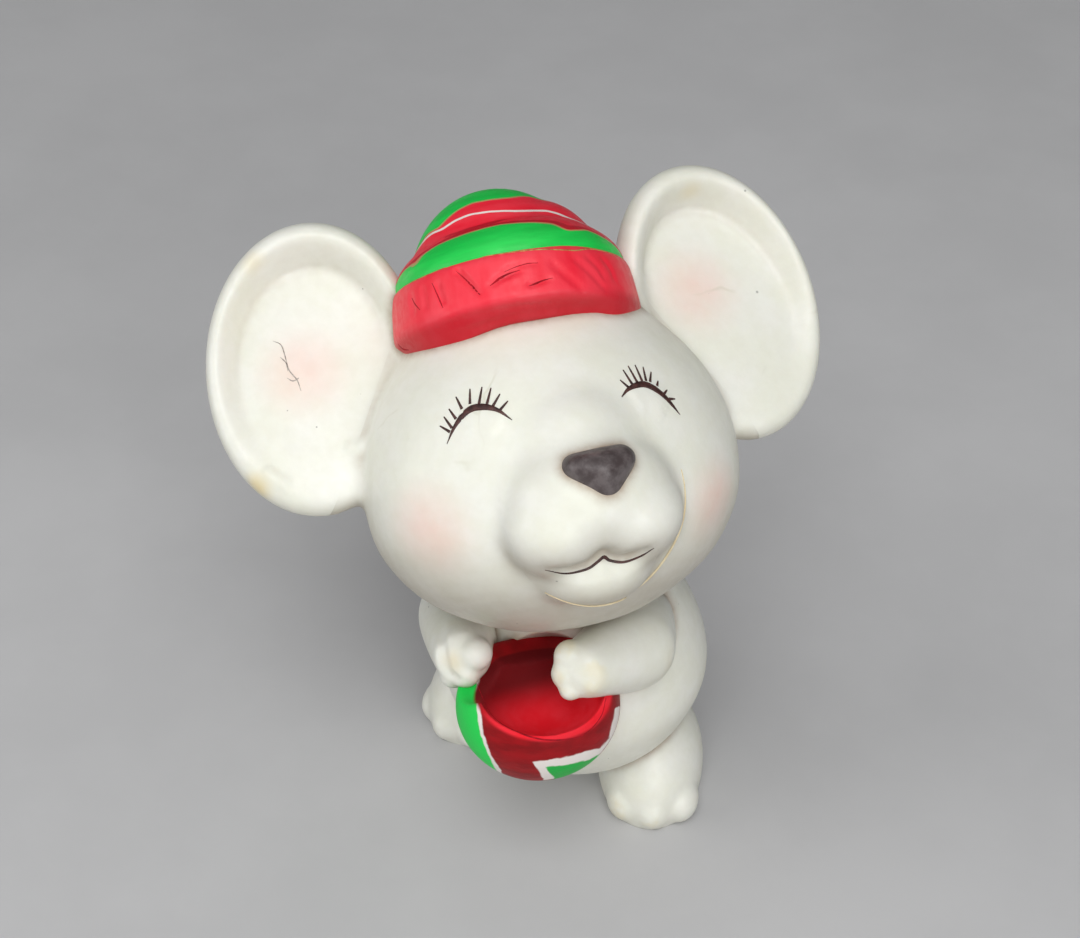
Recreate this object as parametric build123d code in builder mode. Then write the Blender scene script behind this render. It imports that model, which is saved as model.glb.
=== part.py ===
from build123d import *
import os

os.makedirs("parts", exist_ok=True)

# A small moulded mouse that stands on two feet, wears a striped knit hat and
# holds an open stocking in its paws. Millimetres, +Z up, floor at Z 0.
# The body faces -Y. Left and right are the mouse's own, so left is +X.
# Every part of the head is placed on the head plane: +X to the mouse's left,
# -Y out of the face and +Z to the crown.

# Place of the body's middle line, which puts the whole figure over the origin
body_x = 6.07
body_y = -7.0

# Fits shared by all pieces
peg_clearance = 0.1
peg_sink = 2.5
overrun = 40.0

# Torso, a pear turned about its upright axis
torso_y = 4.0
torso_bottom_z = 2.6
belly_radius = 11.6
belly_z = 10.8
neck_radius = 7.4
neck_top_z = 26.0

# Neck peg, which carries the head
neck_peg_radius = 3.5
neck_peg_y = 3.0
neck_peg_top_z = 30.0
neck_peg_root_z = 20.0

# Head plane
head_x = 0.6
head_y = 0.2
head_z = 35.7
head_turn = 41.5
head_tip = 40.0

# Head, an egg of oval sections, each with its height as a share of the drop to
# the chin or the rise to the crown, and its width as a share of the cheeks'
cheek_half_width = 15.2
head_half_depth = 13.25
chin_drop = 11.9
crown_rise = 19.2
below_cheek_shares = ((-1.0, 0.04), (-0.93, 0.36), (-0.68, 0.73), (-0.34, 0.94))
above_cheek_shares = ((0.0, 1.0), (0.21, 0.975), (0.42, 0.865), (0.62, 0.67), (0.82, 0.44), (0.95, 0.22), (1.0, 0.04))

# Muzzle, an insert that plugs into an oval pocket in the face
pocket_x = 0.3
pocket_z = -1.5
pocket_half_width = 7.3
pocket_half_height = 8.1
pocket_floor_y = -7.0
muzzle_y = -10.4
muzzle_z = -1.7
muzzle_half_width = 6.3
muzzle_half_depth = 6.0
muzzle_half_height = 5.3
lip_x = 2.7
lip_y = -11.9
lip_z = -3.2
lip_radius = 3.7
bridge_y = -11.2
bridge_z = 1.2
bridge_half_width = 4.4
bridge_half_depth = 5.4
bridge_half_height = 4.3
chin_y = -10.0
chin_z = -6.6
chin_half_width = 4.2
chin_half_depth = 3.3
chin_half_height = 2.7

# Nose, a rounded triangle with its point down
nose_top_half_width = 3.5
nose_top_z = 2.3
nose_point_z = -2.7
nose_back_y = -14.0
nose_front_y = -18.0
nose_corner_radius = 1.1
nose_edge_radius = 0.9
nose_peg_radius = 0.8
nose_peg_end_y = -12.0

# Ears, oval dishes with a thick round rim
ear_x = 17.0
ear_y = 2.85
ear_z = 12.2
ear_half_width = 8.66
ear_half_height = 11.8
ear_thickness = 4.0
ear_edge_radius = 1.7
ear_rim_width = 1.9
ear_dish_depth = 2.3
ear_slope = 6.85
ear_turn = 11.2
ear_lean = 5.5
ear_peg_radius = 1.2
ear_peg_x = 15.5
ear_peg_y = 3.3
ear_peg_z = 6.5
ear_peg_end_x = 9.5

# Hat, tipped back on the head, a rolled cuff under a low dome that a steeper
# peak stands on. Its heights are counted from the foot of the cuff.
hat_x = -0.7
hat_y = 0.8
hat_z = 12.0
hat_tip = 8.0
hat_roll = 1.5
cuff_bottom_z = -0.9
cuff_edge_z = 1.3
cuff_top_z = 5.1
cuff_foot_half_width = 9.5
cuff_edge_half_width = 9.95
cuff_top_half_width = 9.6
hat_depth_share = 0.9
dome_half_width = 9.4
dome_rise = 4.4
peak_x = -0.8
peak_half_width = 7.1
peak_rise = 7.25
crown_peg_radius = 2.0
crown_peg_end_z = 3.0

# Arms, a tapered upper arm and forearm that meet in front of the chest
shoulder_radius = 3.6
elbow_radius = 3.7
paw_radius = 2.5
left_shoulder = (6.6, 3.2, 20.6)
left_elbow = (8.3, -0.9, 21.2)
left_paw = (6.1, -7.0, 23.4)
left_fingers = ((4.6, -7.6, 24.6), (4.8, -8.4, 23.3), (6.0, -8.4, 22.2))
right_shoulder = (-6.6, 3.2, 19.8)
right_elbow = (-7.9, -0.4, 17.8)
right_paw = (-3.2, -8.0, 21.3)
right_fingers = ((-1.6, -8.5, 22.3), (-1.8, -9.3, 20.5), (-3.3, -9.5, 19.6))
finger_radius = 1.2
arm_peg_radius = 1.3
arm_peg_root_share = -0.25
arm_peg_reach_share = 0.5

# Feet, three toed and flat underneath
foot_left_x = 8.2
foot_left_y = 5.2
foot_right_x = -9.6
foot_right_y = 6.6
foot_centre_z = 2.0
foot_half_width = 4.8
foot_half_length = 7.3
foot_half_height = 6.6
foot_splay = 17.0
toe_half_width = 2.1
toe_half_length = 2.6
toe_half_height = 2.5
toe_centre_z = 2.0
toe_spread = 2.7
toe_reach = 5.0
toe_setback = 1.3
foot_peg_radius = 1.5
foot_peg_inset = 1.5
foot_peg_top_z = 9.0

# Tail, a short curl round the back of the torso
tail_root_angle = 80.0
tail_tip_angle = 150.0
tail_radius = 1.4
tail_z = 5.6
tail_ring_radius = 11.0
tail_peg_radius = 0.8
tail_peg_end_radius = 7.5

# Stocking, a bag cut off by a mouth that looks up and forward, with a scoop in
# it and a dip in the back of its rim, against the chest
stocking_x = 3.35
stocking_y = -7.6
stocking_z = 18.5
stocking_turn = 28.0
stocking_half_width = 6.65
stocking_half_depth = 5.9
stocking_half_height = 6.7
mouth_x = 4.3
mouth_y = -9.1
mouth_z = 22.5
mouth_tip = 25.0
scoop_half_width = 4.8
scoop_half_depth = 3.7
scoop_drop = 5.2
dip_x = 1.2
dip_y = -5.6
dip_z = 25.6
dip_half_width = 4.2
dip_half_depth = 3.5
dip_drop = 3.4
stocking_peg_radius = 1.3
stocking_peg_z = 14.4
stocking_peg_end_y = -2.5

# The planes that carry the pieces
figure = Plane(origin=(body_x, body_y, 0))
torso_plane = Plane(origin=figure.from_local_coords((0, torso_y, 0)))


def turned(base, x, y, z, about_x=0, about_y=0, about_z=0):
    """A plane at a point of another plane, turned in degrees about its own X, then Y, then Z."""
    return Plane(base.location * Location((x, y, z), (about_x, about_y, about_z)))


neck_plane = turned(figure, head_x, head_y, head_z, about_z=head_turn)
head_plane = turned(neck_plane, 0, 0, 0, about_x=-head_tip)


def side_of(plane):
    """The upright plane through another plane's X and normal, to draw a turned profile on."""
    return Plane(origin=plane.origin, x_dir=plane.x_dir, z_dir=-plane.y_dir)


def facing(base, start, end):
    """A plane at a start point of another plane, with its normal towards an end point."""
    start_point = base.from_local_coords(Vector(start))
    end_point = base.from_local_coords(Vector(end))
    return Plane(origin=start_point, z_dir=end_point - start_point)


def placed(shape, plane):
    """A shape that was made at the origin, moved onto a plane."""
    with BuildPart(plane) as moved:
        add(shape)
    return moved.part


def ellipsoid(plane, half_width, half_depth, half_height):
    """A ball stretched to its three half sizes along the plane's axes."""
    with BuildPart() as ball:
        Sphere(1)
        scale(by=(half_width, half_depth, half_height))
    return placed(ball.part, plane)


def peg(base, start, end, radius):
    """A round peg between two points of a plane."""
    along = facing(base, start, end)
    with BuildPart() as rod:
        with BuildSketch(along):
            Circle(radius)
        extrude(amount=(Vector(end) - Vector(start)).length)
    return rod.part


def socket(base, start, end, radius):
    """The hole for a peg, wider all round and deeper by the peg clearance."""
    deeper = Vector(end) + (Vector(end) - Vector(start)).normalized() * peg_clearance
    return peg(base, start, deeper, radius + peg_clearance)


def limb(start, start_radius, end, end_radius):
    """A tapered limb with round ends, turned about the line from its start to its end."""
    along = facing(figure, start, end)
    length = (Vector(end) - Vector(start)).length
    with BuildPart() as turned_limb:
        with BuildSketch(side_of(along)):
            with BuildLine():
                Line((0, -start_radius), (0, length + end_radius))
                Spline(
                    (0, length + end_radius),
                    (end_radius, length),
                    (start_radius, 0),
                    (0, -start_radius),
                    tangents=((1, 0), (-1, 0)),
                )
            make_face()
        revolve(axis=Axis(along.origin, along.z_dir))
    return turned_limb.part


# Torso form, whole and without sockets, which smaller pieces are cut to fit

with BuildPart() as torso_form:
    with BuildSketch(side_of(torso_plane)):
        with BuildLine():
            Spline(
                (0, torso_bottom_z),
                (belly_radius, belly_z),
                (neck_radius, neck_top_z),
                tangents=((1, 0), (-neck_radius / neck_top_z, 1)),
            )
            Polyline((neck_radius, neck_top_z), (0, neck_top_z), (0, torso_bottom_z))
        make_face()
    revolve(axis=Axis(torso_plane.origin, torso_plane.z_dir))


# Head form, lofted through its oval sections from chin to crown

head_sections = [(rise * chin_drop, width) for rise, width in below_cheek_shares]
head_sections += [(rise * crown_rise, width) for rise, width in above_cheek_shares]

with BuildPart() as head_form:
    for section_z, width_share in head_sections:
        with BuildSketch(turned(head_plane, 0, 0, section_z)):
            Ellipse(width_share * cheek_half_width, width_share * head_half_depth)
    loft()


# Muzzle, the front of the face with its two lips and chin, all inside the pocket's oval

muzzle_core = ellipsoid(
    turned(head_plane, 0, muzzle_y, muzzle_z), muzzle_half_width, muzzle_half_depth, muzzle_half_height
)
muzzle_bridge = ellipsoid(
    turned(head_plane, 0, bridge_y, bridge_z), bridge_half_width, bridge_half_depth, bridge_half_height
)
chin_ball = ellipsoid(
    turned(head_plane, 0, chin_y, chin_z), chin_half_width, chin_half_depth, chin_half_height
)

with BuildPart() as muzzle_form:
    add(head_form.part)
    add(muzzle_core)
    add(muzzle_bridge)
    add(chin_ball)
    with Locations(turned(head_plane, -lip_x, lip_y, lip_z), turned(head_plane, lip_x, lip_y, lip_z)):
        Sphere(lip_radius)

pocket_plane = turned(head_plane, pocket_x, pocket_floor_y, pocket_z, about_x=90)

with BuildPart() as pocket:
    with BuildSketch(pocket_plane):
        Ellipse(pocket_half_width, pocket_half_height)
    extrude(amount=overrun)


# Nose, a soft triangle with a peg into the muzzle

nose_plane = turned(head_plane, 0, nose_back_y, 0, about_x=90)
nose_middle_z = (nose_top_z + nose_point_z) / 2
nose_peg_points = ((0, nose_front_y + nose_edge_radius, nose_middle_z), (0, nose_peg_end_y, nose_middle_z))

with BuildPart() as nose:
    with BuildSketch(nose_plane):
        with BuildLine():
            Polyline(
                (-nose_top_half_width, nose_top_z),
                (nose_top_half_width, nose_top_z),
                (0, nose_point_z),
                close=True,
            )
        make_face()
        fillet(vertices(), radius=nose_corner_radius)
    extrude(amount=nose_back_y - nose_front_y)
    fillet(edges().group_by(Axis(nose_plane.origin, nose_plane.z_dir))[-1], radius=nose_edge_radius)
    add(muzzle_form.part, mode=Mode.SUBTRACT)
    add(peg(head_plane, *nose_peg_points, nose_peg_radius))
nose.part.label = "nose"

with BuildPart() as muzzle:
    with BuildSketch(pocket_plane):
        Ellipse(pocket_half_width - peg_clearance, pocket_half_height - peg_clearance)
    extrude(amount=overrun)
    add(muzzle_form.part, mode=Mode.INTERSECT)
    add(socket(head_plane, *nose_peg_points, nose_peg_radius), mode=Mode.SUBTRACT)
muzzle.part.label = "muzzle"


# Hat, a rolled cuff with a slanted underside and a rounded crown above it

hat_base_plane = turned(head_plane, hat_x, hat_y, hat_z)
hat_plane = turned(hat_base_plane, 0, 0, 0, about_x=-hat_tip, about_y=hat_roll)
cuff_top_plane = turned(hat_plane, 0, 0, cuff_top_z)
cuff_sections = (
    (cuff_bottom_z, cuff_foot_half_width),
    (cuff_edge_z, cuff_edge_half_width),
    (cuff_top_z, cuff_top_half_width),
)
peak_plane = turned(cuff_top_plane, peak_x, 0, 0)
crown_top_z = cuff_top_z + peak_rise
crown_peg_end = (0, 0, crown_peg_end_z)

with BuildPart() as cuff_form:
    for section_z, half_width in cuff_sections:
        with BuildSketch(turned(hat_plane, 0, 0, section_z)):
            Ellipse(half_width, half_width * hat_depth_share)
    loft(ruled=True)

with BuildPart() as hat_cuff:
    add(cuff_form.part)
    add(head_form.part, mode=Mode.SUBTRACT)
hat_cuff.part.label = "hat_cuff"

with BuildPart() as crown_form:
    add(ellipsoid(cuff_top_plane, dome_half_width, dome_half_width * hat_depth_share, dome_rise))
    add(ellipsoid(peak_plane, peak_half_width, peak_half_width * hat_depth_share, peak_rise))
    split(bisect_by=cuff_top_plane, keep=Keep.TOP)

with BuildPart() as hat_crown:
    add(crown_form.part)
    add(head_form.part, mode=Mode.SUBTRACT)
    add(peg(hat_plane, (0, 0, crown_top_z - peg_sink), crown_peg_end, crown_peg_radius))
hat_crown.part.label = "hat_crown"


# Ears, each cut to the head and the hat that it stands against

def ear_peg_points(side):
    """The two ends of an ear's peg on the head plane."""
    return (side * ear_peg_x, ear_peg_y, ear_peg_z), (side * ear_peg_end_x, ear_peg_y, ear_peg_z)


def ear(side):
    """One ear, on the left for side 1 and on the right for side -1."""
    ear_plane = turned(head_plane, side * ear_x, ear_y, ear_z, about_y=-side * ear_slope)
    ear_plane = turned(turned(ear_plane, 0, 0, 0, about_z=side * ear_turn), 0, 0, 0, about_x=-ear_lean)
    front = turned(ear_plane, 0, -ear_thickness / 2, 0, about_x=90)
    dish = ellipsoid(
        turned(ear_plane, 0, -ear_thickness / 2, 0),
        ear_half_width - ear_rim_width,
        ear_dish_depth,
        ear_half_height - ear_rim_width,
    )
    with BuildPart() as piece:
        with BuildSketch(front):
            Ellipse(ear_half_width, ear_half_height)
        extrude(amount=-ear_thickness)
        fillet(edges(), radius=ear_edge_radius)
        add(dish, mode=Mode.SUBTRACT)
        add(head_form.part, mode=Mode.SUBTRACT)
        add(cuff_form.part, mode=Mode.SUBTRACT)
        add(crown_form.part, mode=Mode.SUBTRACT)
        add(peg(head_plane, *ear_peg_points(side), ear_peg_radius))
    return piece


ear_left = ear(1)
ear_left.part.label = "ear_left"

ear_right = ear(-1)
ear_right.part.label = "ear_right"


# Head, with the pocket for the muzzle and the sockets for neck, ears and hat

neck_peg_points = ((0, neck_peg_y, neck_peg_root_z), (0, neck_peg_y, neck_peg_top_z))

with BuildPart() as head:
    add(head_form.part)
    add(pocket.part, mode=Mode.SUBTRACT)
    add(socket(figure, *neck_peg_points, neck_peg_radius), mode=Mode.SUBTRACT)
    add(socket(head_plane, *ear_peg_points(1), ear_peg_radius), mode=Mode.SUBTRACT)
    add(socket(head_plane, *ear_peg_points(-1), ear_peg_radius), mode=Mode.SUBTRACT)
    add(socket(hat_plane, (0, 0, crown_top_z), crown_peg_end, crown_peg_radius), mode=Mode.SUBTRACT)
head.part.label = "head"


# Arms, bent at the elbow, with three fingers and a peg into the torso

def arm_peg_points(elbow):
    """The two ends of an arm's peg, on the line from the elbow to the torso's middle."""
    elbow_point = Vector(elbow)
    inwards = Vector(0, torso_y, elbow[2]) - elbow_point
    return elbow_point + inwards * arm_peg_root_share, elbow_point + inwards * arm_peg_reach_share


def arm(shoulder, elbow, paw, fingers):
    """One arm from its shoulder past its elbow to its paw and fingers."""
    upper_arm = limb(shoulder, shoulder_radius, elbow, elbow_radius)
    forearm = limb(elbow, elbow_radius, paw, paw_radius)
    with BuildPart() as piece:
        add(upper_arm)
        add(forearm)
        with Locations(*[turned(figure, *point) for point in fingers]):
            Sphere(finger_radius)
        add(torso_form.part, mode=Mode.SUBTRACT)
        add(head_form.part, mode=Mode.SUBTRACT)
        add(peg(figure, *arm_peg_points(elbow), arm_peg_radius))
    return piece


arm_left = arm(left_shoulder, left_elbow, left_paw, left_fingers)
arm_left.part.label = "arm_left"

arm_right = arm(right_shoulder, right_elbow, right_paw, right_fingers)
arm_right.part.label = "arm_right"


# Feet, cut flat at the floor, with a peg up into the torso

def foot_peg_points(foot_x, foot_y, side):
    """The two ends of a foot's peg, set towards the body's middle line."""
    peg_x = foot_x - side * foot_peg_inset
    return (peg_x, foot_y, foot_centre_z), (peg_x, foot_y, foot_peg_top_z)


def foot(foot_x, foot_y, side):
    """One foot at its place, splayed outwards to side 1, the left, or side -1, the right."""
    foot_plane = turned(figure, foot_x, foot_y, 0, about_z=side * foot_splay)
    sole = ellipsoid(turned(foot_plane, 0, 0, foot_centre_z), foot_half_width, foot_half_length, foot_half_height)
    with BuildPart() as piece:
        add(sole)
        for step in (-1, 0, 1):
            toe_y = abs(step) * toe_setback - toe_reach
            toe_plane = turned(foot_plane, step * toe_spread, toe_y, toe_centre_z)
            add(ellipsoid(toe_plane, toe_half_width, toe_half_length, toe_half_height))
        split(bisect_by=figure, keep=Keep.TOP)
        add(torso_form.part, mode=Mode.SUBTRACT)
        add(peg(figure, *foot_peg_points(foot_x, foot_y, side), foot_peg_radius))
    return piece


foot_left = foot(foot_left_x, foot_left_y, 1)
foot_left.part.label = "foot_left"

foot_right = foot(foot_right_x, foot_right_y, -1)
foot_right.part.label = "foot_right"


# Tail, a round curl along the torso with a peg at its root

tail_plane = turned(torso_plane, 0, 0, tail_z)
tail_root_plane = turned(tail_plane, 0, 0, 0, about_z=tail_root_angle)
tail_tip_plane = turned(tail_plane, 0, 0, 0, about_z=tail_tip_angle)
tail_peg_points = ((tail_ring_radius, 0, 0), (tail_peg_end_radius, 0, 0))

with BuildPart() as tail:
    with BuildLine(tail_plane):
        CenterArc((0, 0), tail_ring_radius, tail_root_angle, tail_tip_angle - tail_root_angle)
    with BuildSketch(turned(tail_root_plane, tail_ring_radius, 0, 0, about_x=-90)):
        Circle(tail_radius)
    sweep()
    with Locations(turned(tail_root_plane, tail_ring_radius, 0, 0), turned(tail_tip_plane, tail_ring_radius, 0, 0)):
        Sphere(tail_radius)
    add(torso_form.part, mode=Mode.SUBTRACT)
    add(foot_right.part, mode=Mode.SUBTRACT)
    add(peg(tail_root_plane, *tail_peg_points, tail_peg_radius))
tail.part.label = "tail"


# Stocking, cut to the torso and the paws that hold its rim

stocking_plane = turned(figure, stocking_x, stocking_y, stocking_z, about_z=stocking_turn)
rim_plane = turned(figure, mouth_x, mouth_y, mouth_z, about_z=stocking_turn)
mouth_plane = turned(rim_plane, 0, 0, 0, about_x=mouth_tip)
dip_plane = turned(figure, dip_x, dip_y, dip_z, about_z=stocking_turn)
stocking_peg_points = (
    (stocking_x, stocking_y, stocking_peg_z),
    (stocking_x, stocking_peg_end_y, stocking_peg_z),
)

with BuildPart() as stocking:
    add(ellipsoid(stocking_plane, stocking_half_width, stocking_half_depth, stocking_half_height))
    split(bisect_by=mouth_plane, keep=Keep.BOTTOM)
    add(ellipsoid(mouth_plane, scoop_half_width, scoop_half_depth, scoop_drop), mode=Mode.SUBTRACT)
    add(ellipsoid(dip_plane, dip_half_width, dip_half_depth, dip_drop), mode=Mode.SUBTRACT)
    add(torso_form.part, mode=Mode.SUBTRACT)
    add(arm_left.part, mode=Mode.SUBTRACT)
    add(arm_right.part, mode=Mode.SUBTRACT)
    add(head_form.part, mode=Mode.SUBTRACT)
    add(peg(figure, *stocking_peg_points, stocking_peg_radius))
stocking.part.label = "stocking"


# Torso, with its neck peg and the sockets for arms, feet, tail and stocking

with BuildPart() as torso:
    add(torso_form.part)
    add(head_form.part, mode=Mode.SUBTRACT)
    add(peg(figure, *neck_peg_points, neck_peg_radius))
    add(socket(figure, *arm_peg_points(left_elbow), arm_peg_radius), mode=Mode.SUBTRACT)
    add(socket(figure, *arm_peg_points(right_elbow), arm_peg_radius), mode=Mode.SUBTRACT)
    add(socket(figure, *foot_peg_points(foot_left_x, foot_left_y, 1), foot_peg_radius), mode=Mode.SUBTRACT)
    add(socket(figure, *foot_peg_points(foot_right_x, foot_right_y, -1), foot_peg_radius), mode=Mode.SUBTRACT)
    add(socket(tail_root_plane, *tail_peg_points, tail_peg_radius), mode=Mode.SUBTRACT)
    add(socket(figure, *stocking_peg_points, stocking_peg_radius), mode=Mode.SUBTRACT)
torso.part.label = "torso"


pieces = (
    torso,
    arm_left,
    arm_right,
    foot_left,
    foot_right,
    tail,
    stocking,
    head,
    muzzle,
    nose,
    ear_left,
    ear_right,
    hat_cuff,
    hat_crown,
)
for piece in pieces:
    export_step(piece.part, f"parts/{piece.part.label}.step")
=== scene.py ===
# %% [markdown]
# # A small vinyl mouse in a knit hat
#
# The real figurine is about 56 mm tall: ivory vinyl, hand painted, with big
# dish ears, a striped hat and an open stocking in its paws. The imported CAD
# model is loaded first as a fixed frame. It gives the size and the place of
# every piece, and everything below is modelled straight into it, in metres.

# %% Load the frame
from math import cos, pi, radians, sin, sqrt

import bpy
import numpy as np
from mathutils import Matrix, Vector
from mathutils.bvhtree import BVHTree
from mathutils.kdtree import KDTree


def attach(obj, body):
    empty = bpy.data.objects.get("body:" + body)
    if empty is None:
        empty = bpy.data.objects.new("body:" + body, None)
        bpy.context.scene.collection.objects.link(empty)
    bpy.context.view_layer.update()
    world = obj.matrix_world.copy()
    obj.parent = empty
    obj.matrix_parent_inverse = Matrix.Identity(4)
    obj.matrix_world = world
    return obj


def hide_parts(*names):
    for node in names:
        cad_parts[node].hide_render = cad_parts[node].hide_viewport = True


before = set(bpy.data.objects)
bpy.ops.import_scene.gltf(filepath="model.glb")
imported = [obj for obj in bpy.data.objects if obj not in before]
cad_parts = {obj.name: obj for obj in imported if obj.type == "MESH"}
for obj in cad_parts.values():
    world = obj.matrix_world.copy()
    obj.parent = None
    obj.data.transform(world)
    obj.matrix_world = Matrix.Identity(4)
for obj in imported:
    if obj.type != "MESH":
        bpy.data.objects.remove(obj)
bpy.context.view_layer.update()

MM = 0.001
print("CAD nodes:", ", ".join(sorted(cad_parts)))

# %% [markdown]
# ## Camera
#
# The photo looks down on the mouse at 40 degrees, from 26 degrees to the
# mouse's left. The lens follows from how strongly the feet shrink against the
# ears. The camera comes first because the painted lines are placed later by
# pixels of the photo, sent through it onto the skin.

# %% Camera
PHOTO_WIDTH = 1080
PHOTO_HEIGHT = 938
SENSOR_WIDTH = 36.0
FOCAL_PIXELS = 2240.0
CAMERA_TURN = radians(26.0)
CAMERA_RISE = radians(40.0)
CAMERA_DISTANCE = 180.0 * MM
CAMERA_TARGET = Vector((5.71, -7.18, 37.0)) * MM


def aim(turn, rise):
    """The unit vector from the target back to a camera at these angles."""
    return Vector((sin(turn) * cos(rise), -cos(turn) * cos(rise), sin(rise)))


def added(operator, **settings):
    """Add an object with nothing else selected."""
    bpy.ops.object.select_all(action="DESELECT")
    operator(**settings)
    return bpy.context.object


camera = added(bpy.ops.object.camera_add)
camera.name = "photo_camera"
line_of_sight = aim(CAMERA_TURN, CAMERA_RISE)
camera_turned = line_of_sight.to_track_quat("Z", "Y")
camera.location = CAMERA_TARGET + line_of_sight * CAMERA_DISTANCE
camera.rotation_euler = camera_turned.to_euler()
camera.data.sensor_width = SENSOR_WIDTH
camera.data.lens = FOCAL_PIXELS / PHOTO_WIDTH * SENSOR_WIDTH
camera.data.clip_start = MM
bpy.context.scene.camera = camera


def photo_ray(u, v):
    """The direction from the camera through a pixel of the photo."""
    sideways = (u - PHOTO_WIDTH / 2) / FOCAL_PIXELS
    upwards = (PHOTO_HEIGHT / 2 - v) / FOCAL_PIXELS
    return (camera_turned @ Vector((sideways, upwards, -1))).normalized()


print("camera at", [round(value / MM, 1) for value in camera.location], "mm")

# %% [markdown]
# ## Two frames to work in
#
# The body faces -Y. The head is turned 41.5 degrees to the mouse's left and
# tipped back 40 degrees, so its own frame is kept as a matrix: X to the
# mouse's left, -Y out of the face, Z to the top of the hat. A matrix like this
# lets every part of the face be given in plain head millimetres.

# %% Frames and small modelling helpers
BODY = Matrix.Translation(Vector((6.07, -7.0, 0)) * MM)


def turned(base, x, y, z, about_x=0, about_y=0, about_z=0):
    """A frame at a point of another frame, in millimetres, turned about its X, then Y, then Z."""
    moved = base @ Matrix.Translation(Vector((x, y, z)) * MM)
    for angle, axis in ((about_x, "X"), (about_y, "Y"), (about_z, "Z")):
        moved = moved @ Matrix.Rotation(radians(angle), 4, axis)
    return moved


NECK = turned(BODY, 0.6, 0.2, 35.7, about_z=41.5)
HEAD = turned(NECK, 0, 0, 0, about_x=-40)


def select_only(*pieces):
    """Select these pieces and nothing else, with the first one active."""
    bpy.ops.object.select_all(action="DESELECT")
    for piece in pieces:
        piece.select_set(True)
    bpy.context.view_layer.objects.active = pieces[0]


def settle(piece, place):
    """Put a shape that was modelled round the origin in its place, and store that in its mesh."""
    piece.matrix_world = place
    select_only(piece)
    bpy.ops.object.transform_apply(location=True, rotation=True, scale=True)
    return piece


def stretched(place, width, depth, height):
    """A frame whose axes are stretched to three half sizes in millimetres."""
    return place @ Matrix.Diagonal((width * MM, depth * MM, height * MM, 1))


def ball(place, width, depth, height):
    """A ball stretched to three half sizes in millimetres."""
    form = added(bpy.ops.mesh.primitive_uv_sphere_add, segments=48, ring_count=24, radius=1)
    return settle(form, stretched(place, width, depth, height))


def turned_form(place, outline, steps=64):
    """A form turned about Z, from an outline of radius and height drawn point after point."""
    form = added(bpy.ops.mesh.primitive_plane_add, size=1)
    bpy.ops.object.mode_set(mode="EDIT")
    bpy.ops.mesh.select_all(action="SELECT")
    bpy.ops.mesh.merge(type="CENTER")
    radius, height = outline[0]
    bpy.ops.transform.translate(value=(radius, 0, height))
    for (last_radius, last_height), (radius, height) in zip(outline, outline[1:]):
        step = (radius - last_radius, 0, height - last_height)
        bpy.ops.mesh.extrude_vertices_move(TRANSFORM_OT_translate={"value": step})
    bpy.ops.mesh.select_all(action="SELECT")
    bpy.ops.mesh.spin(steps=steps, angle=2 * pi, center=(0, 0, 0), axis=(0, 0, 1))
    bpy.ops.mesh.select_all(action="SELECT")
    bpy.ops.mesh.remove_doubles(threshold=0.0005)
    bpy.ops.mesh.normals_make_consistent(inside=False)
    bpy.ops.object.mode_set(mode="OBJECT")
    return settle(form, place)


def apply_modifier(piece, kind, **settings):
    """Add a modifier with these settings and apply it."""
    select_only(piece)
    modifier = piece.modifiers.new(kind.lower(), kind)
    for name, value in settings.items():
        setattr(modifier, name, value)
    bpy.ops.object.modifier_apply(modifier=modifier.name)


def named(piece, name):
    """Give a piece and its mesh the same name."""
    piece.name = name
    piece.data.name = name
    return piece


def joined(name, parts):
    """Several shapes as one piece."""
    select_only(*parts)
    bpy.ops.object.join()
    return named(bpy.context.object, name)


def smooth(piece):
    """Shade a piece smoothly."""
    select_only(piece)
    bpy.ops.object.shade_smooth()


def fused(name, parts, voxel, rounds):
    """Join parts, melt them into one skin and soften the creases between them."""
    piece = joined(name, parts)
    apply_modifier(piece, "REMESH", mode="VOXEL", voxel_size=voxel * MM)
    apply_modifier(piece, "SMOOTH", factor=0.5, iterations=rounds)
    smooth(piece)
    return piece


def smooth_curve(points, steps):
    """More points along a smooth line through the given ones, which all stay on it."""
    path = [Vector(point) for point in points]
    path = [2 * path[0] - path[1]] + path + [2 * path[-1] - path[-2]]
    line = []
    for before, start, end, after in zip(path, path[1:], path[2:], path[3:]):
        for step in range(steps):
            t = step / steps
            bend = (2 * before - 5 * start + 4 * end - after) * t * t
            twist = (3 * start - before - 3 * end + after) * t * t * t
            line.append((2 * start + (end - before) * t + bend + twist) / 2)
    return line + [path[-2]]


def read_all(items, name, width=3, kind=float):
    """One value of all vertices or edges, with a row for each."""
    values = np.empty(len(items) * width, dtype=kind)
    items.foreach_get(name, values)
    return values.reshape(-1, width)


def move_to(piece, places):
    """Move a piece's vertices to new places."""
    piece.data.vertices.foreach_set("co", places.ravel())
    piece.data.update()


def soften(piece, centres, reach, rounds):
    """Soften a skin round some points, most at each point and not at all at the reach in millimetres."""
    places = read_all(piece.data.vertices, "co")
    distance = np.min([np.linalg.norm(places - np.array(centre), axis=1) for centre in centres], axis=0)
    nearness = np.clip(1 - distance / (reach * MM), 0, 1)
    group = piece.vertex_groups.new(name="soft")
    for tenth in range(1, 10):
        strength = 1 - (1 - (tenth + 0.5) / 10) ** 3
        group.add(np.flatnonzero((nearness * 10).astype(int) == tenth).tolist(), strength, "REPLACE")
    apply_modifier(piece, "SMOOTH", factor=0.5, iterations=rounds, vertex_group="soft")
    piece.vertex_groups.clear()


# %% [markdown]
# ## Lines taken from the photo
#
# Creases, carved dents and brush strokes are given as pixels of the photo. A
# ray from the camera through each pixel finds its place on the skin, so a line
# lands where the maker's tool or brush was, whatever the shape below it is.

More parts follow.
